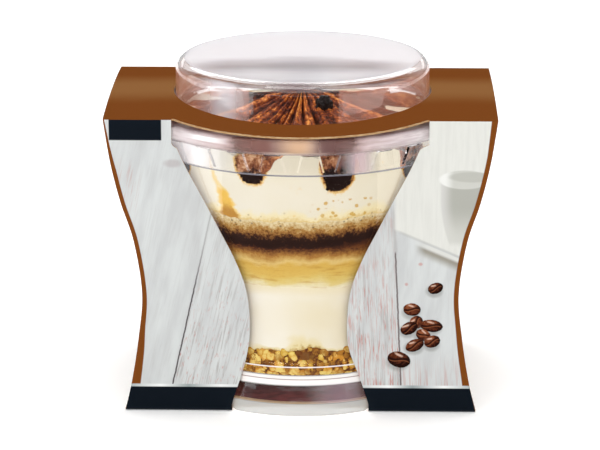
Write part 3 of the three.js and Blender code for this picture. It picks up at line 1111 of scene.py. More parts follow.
@dataclass(frozen=True)
class Cream:
    """Pale mascarpone cream, stained where it meets its neighbours, with painted light and shade."""

    white: Colour = srgb(0xF1EBDC)
    yellow: Colour = srgb(0xE7DBBB)
    shaded: Colour = srgb(0xE1D8C3)
    under_sponge: Colour = srgb(0xE9DCBA)
    over_crumb: Colour = srgb(0xE2D092)
    crumb_stain: Colour = srgb(0xBA9446)
    over_cocoa: Colour = srgb(0xECDCA8)
    cocoa_stain: Colour = srgb(0xD8BA76)
    speck: Colour = srgb(0x967658)
    spot: Colour = srgb(0xCCA042)
    drip_pale: Colour = srgb(0xECCC78)
    drip_gold: Colour = srgb(0xEAB846)
    drip_rose: Colour = srgb(0xC48E68)
    drip_brown: Colour = srgb(0xA86824)
    stain_gold: Colour = srgb(0xE4BA5A)
    stain_brown: Colour = srgb(0xB06E22)
    stain_dark: Colour = srgb(0x2E140C)
    loose_cocoa_painted_lighter: Stops = (
        (0.0, srgb(0xD69662)),
        (0.28, srgb(0xA8623A)),
        (0.6, srgb(0x6C3622)),
        (0.95, srgb(0x361812)),
    )
    moist_cocoa: Stops = (
        (0.0, srgb(0xEC9E46)),
        (0.22, srgb(0xBC5E14)),
        (0.44, srgb(0x762E08)),
        (0.72, srgb(0x3A1207)),
        (1.0, srgb(0x180705)),
    )

    def lower(self) -> Material:
        """Makes the material of the lower cream, tinted by sponge above and crumb below."""
        graph = Graph("cream_lower")
        below, above = graph.painted("below"), graph.painted("above")
        fine, patch = graph.grain(1.2, 3), graph.grain(0.13, 2)
        over = above / (0.7 + 5.5 * patch.rise(0.42, 0.66))
        colour = graph.coats(
            self._body_with_painted_light(graph),
            ((below + patch.swing(2.0)).rise(2.8, 0.0) * 0.85, self.under_sponge),
            (over.rise(1.0, 0.1) * 0.8, self.over_crumb),
            ((over + fine.swing(0.8)).rise(0.25, 0.0) * 0.8, self.crumb_stain),
        )
        return self._finish(graph, colour)

    def upper(self) -> Material:
        """Makes the material of the upper cream, with its stains, drip and cocoa dust."""
        graph = Graph("cream_upper")
        above = graph.painted("above")
        fine, coarse = graph.grain(1.5, 4, 0.7), graph.grain(0.2, 3)
        depth = above / (0.4 + 1.1 * coarse.rise(0.3, 0.7)) + fine.swing(0.8)
        speck = (graph.cells(0.9) + fine.swing(0.5)).rise(0.3, 0.16)
        speck = speck * graph.cells(0.9, "Color").rise(0.66, 0.74)
        spot = (graph.cells(0.8) + fine.swing(0.7)).rise(0.42, 0.26)
        spot = spot * graph.cells(0.8, "Color").rise(0.48, 0.56)
        colour = graph.coats(
            self._body_with_painted_light(graph),
            (0.5, self.shaded),
            (depth.rise(2.8, 0.8) * 0.8, self.over_cocoa),
            ((depth + fine.swing(1.8)).rise(1.1, -0.1) * 0.85, self.cocoa_stain),
            (speck * above.rise(3.2, 1.4) * 0.5, self.speck),
            (spot * graph.painted("spots").rise(0.05, 0.4) * 0.85, self.spot),
        )
        colour = self._stained(graph, colour, fine, coarse, above)
        return self._finish(graph, self._dusted(graph, colour, fine))

    def _body_with_painted_light(self, graph: Graph) -> Value:
        """The plain cream in soft patches, with painted light and shade: whiter towards -X, the lit side, and
        yellower towards +X, in warm shade.
        """
        x, y, _ = graph.axes
        side = (x * 0.022 + y * 0.004 + graph.grain(0.07, 3) * 1.3 - 0.1).rise(0.0, 1.0)
        return graph.mix(side, self.white, self.yellow)

    def _stained(self, graph: Graph, colour: Value, fine: Value, coarse: Value, above: Value) -> Value:
        """Coffee that has run from the pockets into the cream."""
        drip = graph.painted("drip") + fine.swing(0.7)
        run = graph.mix(above.rise(9.0, 13.0), self.drip_gold, self.drip_rose)
        stain = graph.painted("stain") + fine.swing(1.3) + coarse.swing(1.1) - 0.12
        return graph.coats(
            colour,
            (drip.rise(0.1, 0.6) * 0.85, self.drip_pale),
            (drip.rise(0.45, 0.95) * 0.85, run),
            ((drip - above * 0.22).rise(0.1, 0.7) * 0.7, self.drip_brown),
            (stain.rise(0.15, 0.5) * 0.75, self.stain_gold),
            (stain.rise(0.5, 0.75) * 0.9, self.stain_brown),
            (stain.rise(0.75, 0.98), self.stain_dark),
        )

    def _dusted(self, graph: Graph, colour: Value, fine: Value) -> Value:
        """Cocoa powder: dark and moist round the peak, looser and paler in the valleys at the wall, where the
        paleness is partly painted light that makes up for the shade of the card and flange. Painted shade
        darkens it in the swirl's grooves and on its far side.
        """
        dust, crown = graph.painted("dust"), graph.painted("crown")
        powder, clump = graph.grain(2.2, 4, 0.75), graph.grain(0.5, 3)
        # The stored hollow value deepens the dust's colour in painted shade.
        depth = powder.swing(1.5) + fine.swing(1.0) + clump.swing(1.6) + graph.painted("hollow") + 0.06
        loose_painted_lighter, moist = graph.ramp(depth, *self.loose_cocoa_painted_lighter), graph.ramp(depth, *self.moist_cocoa)
        cover = (dust * 1.7 - 0.35 + powder.swing(1.2) + fine.swing(0.8)).rise(0.1, 0.6)
        return graph.mix(cover, colour, graph.mix(crown, loose_painted_lighter, moist))

    def _finish(self, graph: Graph, colour: Value) -> Material:
        """Ends a cream material with its soft, slightly pitted surface."""
        pits = graph.grain(0.5, 4, 0.6)
        return graph.surface(colour, 0.5 + 0.12 * pits, 0.3, graph.bump(pits, 0.1, 0.3))


@dataclass(frozen=True)
class SoakedSponge:
    """Sponge soaked in coffee syrup: brown grains on top, then pale, golden and paler again."""

    strata: Stops = (
        (0.0, srgb(0x50280F)),
        (0.06, srgb(0x78481B)),
        (0.1, srgb(0x905E26)),
        (0.15, srgb(0xA47130)),
        (0.23, srgb(0xC49B52)),
        (0.33, srgb(0xDABC74)),
        (0.43, srgb(0xD4AB4F)),
        (0.62, srgb(0xD6B258)),
        (0.74, srgb(0xDABE6A)),
        (0.84, srgb(0xDEC882)),
        (0.93, srgb(0xE5D7AA)),
        (1.0, srgb(0xECE1C2)),
    )
    amber: Colour = srgb(0xB8822E)
    reach: float = 9.6

    def material(self) -> Material:
        """Makes the material."""
        graph = Graph("sponge")
        below = graph.painted("below")
        fine = graph.grain(1.4, 4, 0.7)
        drift = graph.grain(0.4, 3, at=graph.stretched((0.35, 0.35, 0.8)))
        threads = graph.grain(0.7, 3, at=graph.stretched((0.3, 0.3, 1.6)))
        pores = graph.cells(1.4).rise(0.05, 0.45)
        depth = below + drift.swing(4.2) * below.rise(0.0, 3.0) + fine.swing(0.6 + 2.2 * below.rise(3.5, 0.5))
        colour = graph.coats(
            graph.ramp(depth / self.reach, *self.strata),
            (threads.rise(0.5, 0.72) * below.rise(2.5, 4.5) * 0.5, self.amber),
            ((1 - pores) * 0.12, self.amber),
        )
        return graph.surface(colour, 0.6 + 0.2 * fine, 0.3, graph.bump(pores * 0.4 + fine * 0.6, 0.1, 0.4))


@dataclass(frozen=True)
class MoistCocoa:
    """Very dark moist cocoa and coffee that turns to golden-brown grains towards the cream above."""

    strata: Stops = (
        (0.0, srgb(0xDECCA2)),
        (0.12, srgb(0xC8AA76)),
        (0.24, srgb(0xB28848)),
        (0.36, srgb(0x94622A)),
        (0.46, srgb(0x623A18)),
        (0.55, srgb(0x2A1109)),
        (0.8, srgb(0x2A1109)),
        (0.9, srgb(0x4C260F)),
        (1.0, srgb(0x703E16)),
    )
    speck: Colour = srgb(0x60381C)
    dark: Colour = srgb(0x2C140E)
    reach: float = 7.9

    def material(self) -> Material:
        """Makes the material."""
        graph = Graph("cocoa")
        below, above = graph.painted("below"), graph.painted("above")
        fine = graph.grain(1.3, 5, 0.78)
        drift = graph.grain(0.24, 3, at=graph.stretched((1, 1, 0.5)))
        depth = below + fine.swing(2.5 + 4.6 * below.rise(6.6, 4.5))
        depth = depth + drift.swing(3.0) * below.rise(0.0, 2.0) * above.rise(0.0, 2.0)
        grit = (graph.cells(1.1) + fine.swing(0.6)).rise(0.34, 0.2)
        grit = grit * graph.cells(1.1, "Color").rise(0.54, 0.62)
        colour = graph.coats(
            graph.ramp(depth / self.reach, *self.strata),
            (grit * below.rise(4.5, 1.5) * 0.6, self.dark),
            (fine.rise(0.56, 0.74) * below.rise(2.5, 4.5) * 0.55, self.speck),
        )
        return graph.surface(colour, 0.55 + 0.3 * fine, 0.25, graph.bump(fine, 0.15, 0.6))


@dataclass(frozen=True)
class BiscuitCrumb:
    """Crushed biscuit: golden nuggets with painted light and shade, or the dark sticky mass between them,
    whose darkness also stands for the shade in the gaps.
    """

    gold: Colour = srgb(0xD8AE42)
    orange: Colour = srgb(0xCE8A28)
    pale: Colour = srgb(0xECD67E)
    toast: Colour = srgb(0xA46C22)
    dark: Colour = srgb(0x5C2E0F)
    scorched: Colour = srgb(0x622C08)

    def nuggets(self) -> Material:
        """Makes the material of the nuggets."""
        graph = Graph("crumb_nuggets")
        fine, wide = graph.grain(1.3, 4, 0.65), graph.grain(0.12, 2)
        shade, press = graph.painted("shade"), graph.painted("press")
        crust = graph.mix(wide.rise(0.45, 0.6), self.orange, self.gold)
        # Painted light and shade: paler where a nugget presses hardest on the wall, darker at its edges.
        colour = graph.coats(
            self.toast,
            (shade.rise(0.1, 0.5), crust),
            ((press * 0.6 + shade * 0.7 + fine.swing(1.4)).rise(0.5, 1.2) * 0.85, self.pale),
            ((press + fine.swing(0.7)).rise(0.1, -0.3) * 0.8, self.dark),
            (graph.painted("scorch") * (0.7 + 0.3 * fine), self.scorched),
        )
        return self._finish(graph, colour, fine)

    def core(self) -> Material:
        """Makes the material of the mass between the nuggets."""
        graph = Graph("crumb_core")
        fine = graph.grain(1.6, 4, 0.7)
        return self._finish(graph, graph.mix(fine.rise(0.42, 0.66), self.dark, self.toast), fine)

    def _finish(self, graph: Graph, colour: Value, fine: Value) -> Material:
        """Ends a crumb material with its rough surface."""
        return graph.surface(colour, 0.65 + 0.2 * fine, 0.3, graph.bump(fine, 0.2, 0.7))


@dataclass(frozen=True)
class CoffeeCocoa:
    """Wet black coffee below, with grains of brown cocoa above it."""

    wet: Colour = srgb(0x1E0A07)
    soaked: Colour = srgb(0x421C11)
    powder: Stops = ((0.42, srgb(0x7A4226)), (0.68, srgb(0xB2764E)), (0.92, srgb(0xD6AC86)))
    veil: Colour = srgb(0x624A4E)

    def material(self) -> Material:
        """Makes the material."""
        graph = Graph("coffee_cocoa")
        over = graph.painted("over")
        fine, clump = graph.grain(2.0, 4, 0.75), graph.grain(0.42, 3)
        x, y, _ = graph.axes
        depth = fine.swing(1.7) + clump.swing(1.6) + 0.42
        depth = depth + over.rise(1.5, 5.5) * 0.22 + x.rise(0.0, -6.0) * 0.14
        veiled = x.rise(7.6, 8.8) * x.rise(14.0, 13.0) * y.rise(1.0, -1.0) * over.rise(1.0, 2.0)
        wet = (over + fine.swing(1.4) + clump.swing(5.0)).rise(1.5, 0.4)
        syrup = graph.mix(fine.rise(0.56, 0.8), self.wet, self.soaked)
        powder = graph.ramp(depth, (0.0, self.wet), (0.2, self.soaked), *self.powder)
        colour = graph.coats(powder, (veiled * 0.75, self.veil), (wet, syrup))
        return graph.surface(colour, 0.72 - 0.35 * wet, 0.3, graph.bump(fine, 0.15, 0.6))


@dataclass(frozen=True)
class BrokenChocolate:
    """Broken dark chocolate with a browner bloom."""

    dark: Colour = srgb(0x110907)
    bloom: Colour = srgb(0x281913)

    def material(self) -> Material:
        """Makes the material."""
        graph = Graph("chocolate")
        fine = graph.grain(1.6, 4, 0.7)
        colour = graph.mix(fine.rise(0.48, 0.75), self.dark, self.bloom)
        return graph.surface(colour, 0.4 + 0.25 * fine, 0.45, graph.bump(fine, 0.15, 0.6))


# ---- card sleeve


@dataclass
class CardSleeve:
    """One folded sheet of card: top panel with hole and tongues, front and back panels, bottom panel."""

    thickness: float = 0.45
    half_depth: float = 26.0
    fold_height: float = 67.9
    top_half_width: float = 43.5
    crown: float = 1.0
    hole_radius: float = 29.35
    tongue_radius: float = 37.8
    upper_fold: float = 0.42
    lower_fold: float = 0.9
    slot_half_depth: float = 22.3
    back_foot_half_width: float = 37.0
    back_foot_height: float = 15.0
    notch_half_width: float = 28.4
    notch_height: float = 62.4
    window_shift: float = 0.4
    columns: int = 18
    shift_from: Pair = (8.0, 16.0)
    no_border: float = 9.0
    wing_edge: Path = (
        (39.6, 0), (37.9, 7.5), (36.3, 17.5), (35.4, 28), (37.1, 40), (39.9, 49), (42, 58),
    )
    window_edge: Path = (
        (15.4, 2), (13.6, 7.6), (11.4, 14.7), (10.9, 21), (11.7, 28.8), (14.2, 35.8), (17.4, 42.3),
        (21.1, 49.7), (24.7, 56.6), (26.8, 61.3),
    )
    left_border: Path = (
        (5, 2.15), (8.6, 1.95), (15, 1.6), (20, 1.2), (30, 1.0), (56, 1.0), (62, 0.6), (68, 0.3),
    )
    right_border: Path = ((5, 1.7), (8.6, 1.5), (15, 1.35), (22, 1.1), (60, 1.1), (68, 1.45))

    def build(self) -> Piece:
        """Builds the sleeve.

        Returns:
            The sleeve, in place of its node.
        """
        draft = Draft()
        for side in (-1, 1):
            for face in (-1, 1):
                self._add_quarter(draft, side, face)
        self._add_floor(draft)
        brown, lining, edge = BoardBrown().material(), BoardLining().material(), BoardEdge().material()
        slots = [brown, PanelPrint().material(), lining, lining, edge, edge]
        return settle(self._thicken(draft.build("card_sleeve", slots)), "card", "sleeve")

    def crown_height(self, y: Array) -> Array:
        """Height of the top panel: an arch between the folds that runs on straight beyond them."""
        reach = np.abs(y) / self.half_depth
        return self.fold_height + self.crown * (1 - np.where(reach > 1, 2 * reach - 1, reach**2))

    def _outer(self, height: Array) -> Array:
        """Half width of a panel's outer edge at a height."""
        curve = smooth([*self.wing_edge, (self.top_half_width, self.fold_height)], 90)
        return np.interp(height, curve[:, 1], curve[:, 0])

    def _window(self, height: Array) -> Array:
        """Half width of the window at a height, with the notch for the lid's flange."""
        curve = smooth(self.window_edge, 90)
        top = [(self.notch_half_width, self.notch_height), (self.notch_half_width, self.fold_height)]
        curve = np.vstack([[(self.window_edge[0][0], 0)], curve, top])
        return np.interp(height, curve[:, 1], curve[:, 0])

    def _add_quarter(self, draft: Draft, side: int, face: int) -> None:
        """Adds a quarter of the top panel, and half of a front or back panel.

        Args:
            draft: The mesh to add to.
            side: 1 for the half at +X, -1 for the other.
            face: -1 for the front, 1 for the back.
        """
        fold_y = self.half_depth - self.upper_fold
        start = math.sqrt(self.tongue_radius**2 - fold_y**2)
        down_side = np.column_stack([np.full(16, self.top_half_width), np.linspace(0, fold_y, 16)])
        along_fold = np.linspace(self.top_half_width, self.notch_half_width, self.columns)
        along_fold = np.column_stack([along_fold, np.full(self.columns, fold_y)])
        turn = np.linspace(math.atan2(start, fold_y), 0, 40)
        tongue = self.tongue_radius * np.column_stack([np.sin(turn), np.cos(turn)])
        rim = np.vstack([down_side[:-1], along_fold, tongue])
        hole = self.hole_radius * rim / np.linalg.norm(rim, axis=1, keepdims=True)
        plan = hole + np.linspace(0, 1, 14)[:, None, None] * (rim - hole)
        top = np.dstack([side * plan[..., 0], face * plan[..., 1], self.crown_height(plan[..., 1])])
        draft.add_grid(top, slot=0, across=0.0, border=self.no_border)
        self._add_panel(draft, side, face)

    def _add_panel(self, draft: Draft, side: int, face: int) -> None:
        """Adds the fold, panel and lower fold on one side of a window."""
        turn = np.radians(np.linspace(0, 90, 6))
        deep, round_up, round_low = self.half_depth, self.upper_fold, self.lower_fold
        fold_y = deep - round_up
        fold_top = self.crown_height(fold_y)
        upper = [(fold_y + round_up * math.sin(t), fold_top - round_up * (1 - math.cos(t))) for t in turn]
        lower = [(deep - round_low * (1 - math.cos(t)), round_low * (1 - math.sin(t))) for t in turn]
        straight = np.linspace(upper[-1][1], round_low, 84)
        heights = np.unique(np.concatenate([straight, [self.notch_height, self.window_edge[-1][1]]]))[::-1]
        rows = np.array([*upper[:-1], *((deep, z) for z in heights), *lower[1:]])
        height = rows[:, 1]
        inner, outer = self._window(height), self._outer(height)
        if face < 0:
            shift = self.window_shift * step_up(height, *self.shift_from) * (height < self.notch_height)
            inner = inner - side * shift
        else:
            foot = np.minimum(outer, self.back_foot_half_width)
            outer = np.where(height < self.back_foot_height, foot, outer)
        share = np.linspace(1, 0, self.columns)
        x = inner[:, None] + share * (outer - inner)[:, None]
        y, z = np.broadcast_to(rows[:, :1], x.shape), np.broadcast_to(rows[:, 1:], x.shape)
        across = side * -face * x
        table = np.array(self.left_border if side * -face < 0 else self.right_border)
        border = (outer[:, None] - x) / np.interp(height, table[:, 0], table[:, 1])[:, None]
        points = np.dstack([side * x, face * y, z])
        folded = len(upper) - 3
        draft.add_grid(points[: folded + 1], slot=0, across=across[: folded + 1], border=border[: folded + 1])
        draft.add_grid(points[folded:], slot=1, across=across[folded:], border=border[folded:])

    def _add_floor(self, draft: Draft) -> None:
        """Adds the bottom panel, cut back under the windows."""
        slot, cut, reach = self.window_edge[0][0], self.slot_half_depth, self.half_depth - self.lower_fold
        front, back = float(self._outer(np.array(0.0))), self.back_foot_half_width
        outside = np.linspace(1, slot / front, self.columns)
        middle = np.linspace(slot / front, -slot / front, 16)
        for share, near, far in (
            (outside, cut, reach),
            (-outside, cut, reach),
            (outside, -reach, -cut),
            (-outside, -reach, -cut),
            (np.concatenate([outside[:-1], middle, -outside[::-1][1:]]), -cut, cut),
        ):
            share, y = np.meshgrid(share, np.linspace(near, far, 4 if far - near < 10 else 12))
            edge = front + (back - front) * (y + reach) / (2 * reach)
            x = np.sign(share) * (slot + (np.abs(share) * front - slot) / (front - slot) * (edge - slot))
            x = np.where(np.abs(share) * front < slot, share * front, x)
            floor = np.dstack([x, y, np.zeros_like(x)])
            draft.add_grid(floor, slot=0, across=0.0, border=self.no_border)

    def _thicken(self, piece: Piece) -> Piece:
        """Gives the sheet its thickness, inwards, with the lining and the cut edges in their own slots."""
        highest = max(piece.data.polygons, key=lambda face: face.center.z)
        if highest.normal.z < 0:
            piece.data.flip_normals()
        card = piece.modifiers.new("card", "SOLIDIFY")
        card.thickness, card.offset, card.use_even_offset = self.thickness * MM, -1.0, True
        card.material_offset, card.material_offset_rim = 2, 4
        bpy.context.view_layer.update()
        done = bpy.data.meshes.new_from_object(piece.evaluated_get(bpy.context.evaluated_depsgraph_get()))
        piece.modifiers.clear()
        piece.data = done
        done.set_sharp_from_angle(angle=SHARP_ANGLE)
        return piece


# ---- tumbler and lid


@dataclass
class Tumbler:
    """The clear tumbler with its waist, step line, raised floor, hollow foot and rim bead."""

    shape: TumblerShape = TUMBLER
    segments: int = 256
    toe_drop: float = 0.62
    toe_fade: float = 6.0
    window_side: float = 0.525
    straight_top: float = 62.2

    def build(self, plastic: Material) -> Piece:
        """Builds the tumbler, its toe a little lower in the windows, where no card lies under it.

        Args:
            plastic: Its material.

        Returns:
            The tumbler, in place of its node.
        """
        profile = np.array(self._profile())
        radius, height = profile[:, :1], profile[:, 1:]
        angle = np.linspace(0, 2 * math.pi, self.segments, endpoint=False)
        open_below = step_up(np.abs(np.sin(angle)), self.window_side, 0.5)
        fade = np.clip((self.toe_fade - height) / (self.toe_fade - self.shape.foot_bottom), 0, 1)
        draft = Draft()
        draft.add_grid(around(radius, angle, height - self.toe_drop * open_below * fade), closed=True)
        piece = draft.build("clear_tumbler", [plastic])
        piece.visible_shadow = piece.visible_diffuse = False
        return settle(piece, "clear_plastic", "cup")

    def _at(self, height: float, proud: float = 0.0) -> Pair:
        """Radius and height of a point on the outer wall, or proud of it."""
        return float(self.shape.radius_at(height)) + proud, height

    def _profile(self) -> list[Pair]:
        """Radius and height round the section, from under the floor, outside up and inside down."""
        shape, top = self.shape, self.straight_top
        foot, step, rim = shape.foot_radius, shape.step_height, shape.rim_radius
        low, high = shape.floor_underside, shape.floor_height
        return [
            (0, low),
            (foot - 6, low),
            *arc(foot - 3.4, 6.8, 1.2, 90, 12, 6),
            (foot - 0.95, shape.foot_top),
            *arc(foot - 0.46, shape.foot_bottom + 0.42, 0.42, 180, 360, 10),
            *[self._at(z, shape.step_depth * max(0, (z - 7.6) / 4.4)) for z in np.linspace(2, step, 16)],
            (self._at(step + 0.3, 0.02)[0], step + 0.12),
            self._at(step + 0.3),
            *[self._at(z) for z in np.linspace(step + 0.6, top, 70)],
            (rim - 1.3, 63.6),
            *arc(rim - 0.45, 64.85, 0.45, -60, 90, 8),
            (rim - 1.3, shape.rim_height),
            (rim - 2.0, 64.9),
            (rim - 2.4, 63.9),
            *[self._at(z, -shape.wall) for z in np.linspace(top, 11.2, 70)],
            *[(float(shape.inside_at(z)), z) for z in (10.8, 10.3, 9.9, 9.5, 9.25, 9.1)],
            (float(shape.inside_at(high)) - 0.7, high),
            (0, high),
        ]


@dataclass
class DomedLid:
    """The clear lid: flat top, rounded shoulder, flange, and a snap skirt with lugs."""

    wall: float = 0.6
    height: float = 76.6
    dome_radius: float = 29.0
    taper: float = 0.1
    shoulder: float = 2.9
    side_foot: float = 67.2
    side_height: float = 6.2
    flange_radius: float = 37.7
    flange_top: float = 66.3
    flange_foot: float = 62.9
    skirt_radius: float = 36.3
    skirt_end: float = 35.3
    skirt_bottom: float = 57.4
    lugs: int = 27
    first_lug: float = math.radians(3.9)
    lug_low: float = 58.4
    lug_high: float = 62.4
    lug_widths: Pair = (5.5, 3.3)
    lug_proud: float = 0.4
    lug_flank: float = 0.42

    def build(self, plastic: Material) -> Piece:
        """Builds the lid.

        Args:
            plastic: Its material.

        Returns:
            The lid, in place of its node.
        """
        rows = np.array([*self._outside(), *self._inside()])
        radius, height, proud = rows[:, 0], rows[:, 1], rows[:, 2]
        angle, on_lug = self._columns(height)
        draft = Draft()
        reach = radius[:, None] + self.lug_proud * proud[:, None] * on_lug
        draft.add_grid(around(reach, angle, height[:, None]), closed=True)
        piece = draft.build("domed_lid", [plastic])
        piece.visible_shadow = piece.visible_diffuse = False
        return settle(piece, "clear_plastic", "lid")

    @property
    def _centre(self) -> float:
        """Distance of the shoulder's centre from the axis."""
        return self.dome_radius - self.taper - self.shoulder

    def _side(self, share: float, inset: float = 0.0) -> Pair:
        """A point on the dome's side, from its foot at 0 to its shoulder at 1."""
        return self.dome_radius - inset - self.taper * share, self.side_foot + self.side_height * share

    def _outside(self) -> list[Point]:
        """Radius, height and share of the lugs' relief, up the outside."""
        top, centre = self.height, self._centre
        low, high = self.lug_low, self.lug_high
        proud = [low + 0.05, *np.linspace(low + 0.5, high - 0.5, 6), high - 0.05]
        rows = [(self.skirt_bottom + 0.08, 0), (low - 0.05, 0), *[(z, 1) for z in proud], (high + 0.05, 0)]
        skirt = [(self._skirt(z), z, share) for z, share in rows]
        plain = [
            *arc(self.flange_radius - 0.7, self.flange_foot + 0.9, 0.7, -75, 0, 6),
            *arc(self.flange_radius - 0.7, self.flange_top - 0.7, 0.7, 0, 90, 8),
            *arc(self.dome_radius + 0.75, self.flange_top + 0.75, 0.75, 270, 180, 6),
            *[self._side(share) for share in np.linspace(0, 0.95, 6)],
            *arc(centre, top - self.shoulder, self.shoulder, 0, 90, 18),
            *[(centre * share, top) for share in (0.9, 0.7, 0.45, 0.2, 0)],
        ]
        foot = [(self.skirt_end - 0.1, self.skirt_bottom, 0)]
        return [*foot, *skirt, *[(r, z, 0) for r, z in plain]]

    def _inside(self) -> list[Point]:
        """Radius and height down the inside, with no relief."""
        top, wall, centre = self.height, self.wall, self._centre
        plain = [
            *[(centre * share, top - wall) for share in (0, 0.2, 0.45, 0.7, 0.9)],
            *arc(centre, top - self.shoulder, self.shoulder - wall, 90, 0, 14),
            *[self._side(share, wall) for share in np.linspace(0.95, 0, 6)],
            (self.dome_radius - wall, self.flange_top - wall + 0.5),
            *arc(self.dome_radius - wall + 0.4, self.flange_top - wall + 0.4, 0.4, 180, 270, 4),
            *arc(self.flange_radius - wall - 0.4, self.flange_top - wall - 0.4, 0.4, 90, 0, 4),
            (self.flange_radius - wall, self.flange_foot + 1.1),
            (self.skirt_radius - wall, self.flange_foot + 0.3),
            *[(self._skirt(z) - wall, z) for z in np.linspace(62.2, self.skirt_bottom + 0.1, 8)],
            (self.skirt_end - wall + 0.1, self.skirt_bottom),
            (self.skirt_end - 0.1, self.skirt_bottom),
        ]
        return [(r, z, 0) for r, z in plain]

    def _skirt(self, height: float) -> float:
        """Outer radius of the skirt at a height."""
        share = (height - self.skirt_bottom) / (self.flange_foot - 0.2 - self.skirt_bottom)
        return self.skirt_end + (self.skirt_radius - self.skirt_end) * share

    def _columns(self, height: Array) -> tuple[Array, Array]:
        """Angle of each column in each row, so that columns follow the lugs' leaning sides.

        Args:
            height: Height of each row.

        Returns:
            The angles by row and column, and for each column 1 on a lug and 0 between lugs.
        """
        pitch = 2 * math.pi / self.lugs
        width = np.interp(height, [self.lug_low, self.lug_high], self.lug_widths)
        half, flank = width / 2 / self.skirt_radius, self.lug_flank / self.skirt_radius
        gap = np.array([0, 0.33, 0.66])
        on_lug = np.array([0, 0, 0, 0, 1, 1, 1, 1, 1, 0, 0, 0])
        space = (pitch / 2 - half - flank)[:, None]
        left = -pitch / 2 + gap * space
        lug = np.linspace(-half, half, 5, axis=1)
        right = (half + flank)[:, None] + gap * space
        one = np.hstack([left, (-half - flank)[:, None], lug, right])
        turns = self.first_lug + np.arange(self.lugs) * pitch
        angles = (turns[None, :, None] + one[:, None, :]).reshape(len(height), -1)
        return angles, np.tile(on_lug, self.lugs)


# ---- contents


@dataclass
class Layer:
    """One flat layer of the dessert, from one level to the next, out to just inside the tumbler's wall."""

    name: str
    low: Level
    high: Level
    rows: int = 40

    def build(self, material: Material, slot: str, node: str) -> Piece:
        """Builds the layer.

        Args:
            material: Its material.
            slot: The record's material slot.
            node: The node it stands for.

        Returns:
            The layer.
        """
        draft = Draft()
        bottom, top = self.low.height(1.0, FULL_TURN), self.high.height(1.0, FULL_TURN)
        share = np.linspace(0, 1, self.rows)[:, None]
        height = bottom + share * (top - bottom)
        wall = around(TUMBLER.contents_at(height), FULL_TURN, height)
        draft.add_grid(wall, closed=True, above=height - bottom, below=top - height)
        for level, ring in ((self.low, wall[0]), (self.high, wall[-1])):
            radius = np.hypot(ring[:, 0], ring[:, 1])
            inward = np.linspace(0, 1, 10)[:, None]
            cover = around(radius * inward, FULL_TURN, level.height(inward, FULL_TURN))
            above, below = (FAR, 0.0) if level is self.high else (0.0, FAR)
            draft.add_grid(cover, closed=True, above=above, below=below)
        return settle(draft.build(self.name, [material]), slot, node)


@dataclass
class CrumbBase:
    """The crushed biscuit base: a dark core with golden nuggets pressed against the wall."""

    seed: int = 7
    rings: int = 5
    ring_radius: float = 26.8
    size: float = 2.15
    packing: float = 0.86
    divisions: int = 3
    size_range: Pair = (0.62, 1.25)
    stretch_range: Pair = (0.75, 1.25)
    sunk_range: Pair = (0.35, 0.8)
    knob_height: float = 0.45
    knob_waves: float = 1.3

    def build(self) -> list[Piece]:
        """Builds the core and the nuggets.

        Returns:
            The two pieces.
        """
        finish = BiscuitCrumb()
        core = Layer("crumb_core", Level.FLOOR, Level.CRUMB, 24).build(finish.core(), "crumb", "crumb_base")
        draft = Draft()
        rng = np.random.default_rng(self.seed)
        pebble = ball(bmesh.ops.create_icosphere, 3, subdivisions=self.divisions)
        count = round(2 * math.pi * self.ring_radius / (self.size * self.packing))
        for ring in range(self.rings):
            level = (ring + 0.5) / self.rings
            for index in range(count):
                angle = 2 * math.pi * (index + 0.5 * (ring % 2) + rng.uniform(-0.3, 0.3)) / count
                self._add_nugget(draft, rng, pebble, angle, level)
        nuggets = draft.build("crumb_nuggets", [finish.nuggets()], weld=0)
        return [core, settle(nuggets, "crumb", "crumb_base")]

    def _add_nugget(
        self, draft: Draft, rng: np.random.Generator, pebble: tuple[Array, Array], angle: float, level: float
    ) -> None:
        """Adds one nugget: a knobbly pebble, flattened where it presses on the wall.

        Args:
            draft: The mesh to add to.
            rng: Source of random draws.
            pebble: Points and faces of a ball.
            angle: Its angle from the front.
            level: Its share of the height between floor and cream.
        """
        shape, faces = pebble
        low, high = TUMBLER.floor_height, float(Level.CRUMB.height(1.0, np.array(angle)))
        radius = self.size / 2 * rng.uniform(*self.size_range)
        stretch = rng.uniform(*self.stretch_range, 3)
        offset = Vector(rng.uniform(-50, 50, 3))
        knobs = np.array([noise.noise(Vector(p) * self.knob_waves + offset) for p in shape])
        knobbly = shape * stretch * radius * (1 + self.knob_height * knobs[:, None])
        height = low + level * (high - low) + rng.uniform(-0.35, 0.35)
        height = min(max(height, low + 0.55 * radius), high - 0.2 * radius)
        distance = float(TUMBLER.contents_at(height)) - radius * rng.uniform(*self.sunk_range)
        centre = around(np.array(distance), np.array(angle), np.array(height))
        points = knobbly + centre
        reach = np.hypot(points[:, 0], points[:, 1])
        limit = TUMBLER.contents_at(np.maximum(points[:, 2], low)) + 0.06
        # How hard each point presses on the wall; the nuggets' material turns it into painted light and
        # shade.
        press = np.clip((reach - limit) / (0.35 * radius), -1, 1)
        points[:, :2] *= np.minimum(1, limit / np.maximum(reach, 1e-6))[:, None]
        points[:, 2] = np.maximum(points[:, 2], low - 0.1)
        near_front = abs(angle - math.radians(0.5)) < 0.15
        scorch = float(near_front and level > 0.5 and rng.uniform() < 0.85)
        draft.add(points, faces, press=press, shade=rng.uniform(0, 1), scorch=scorch)


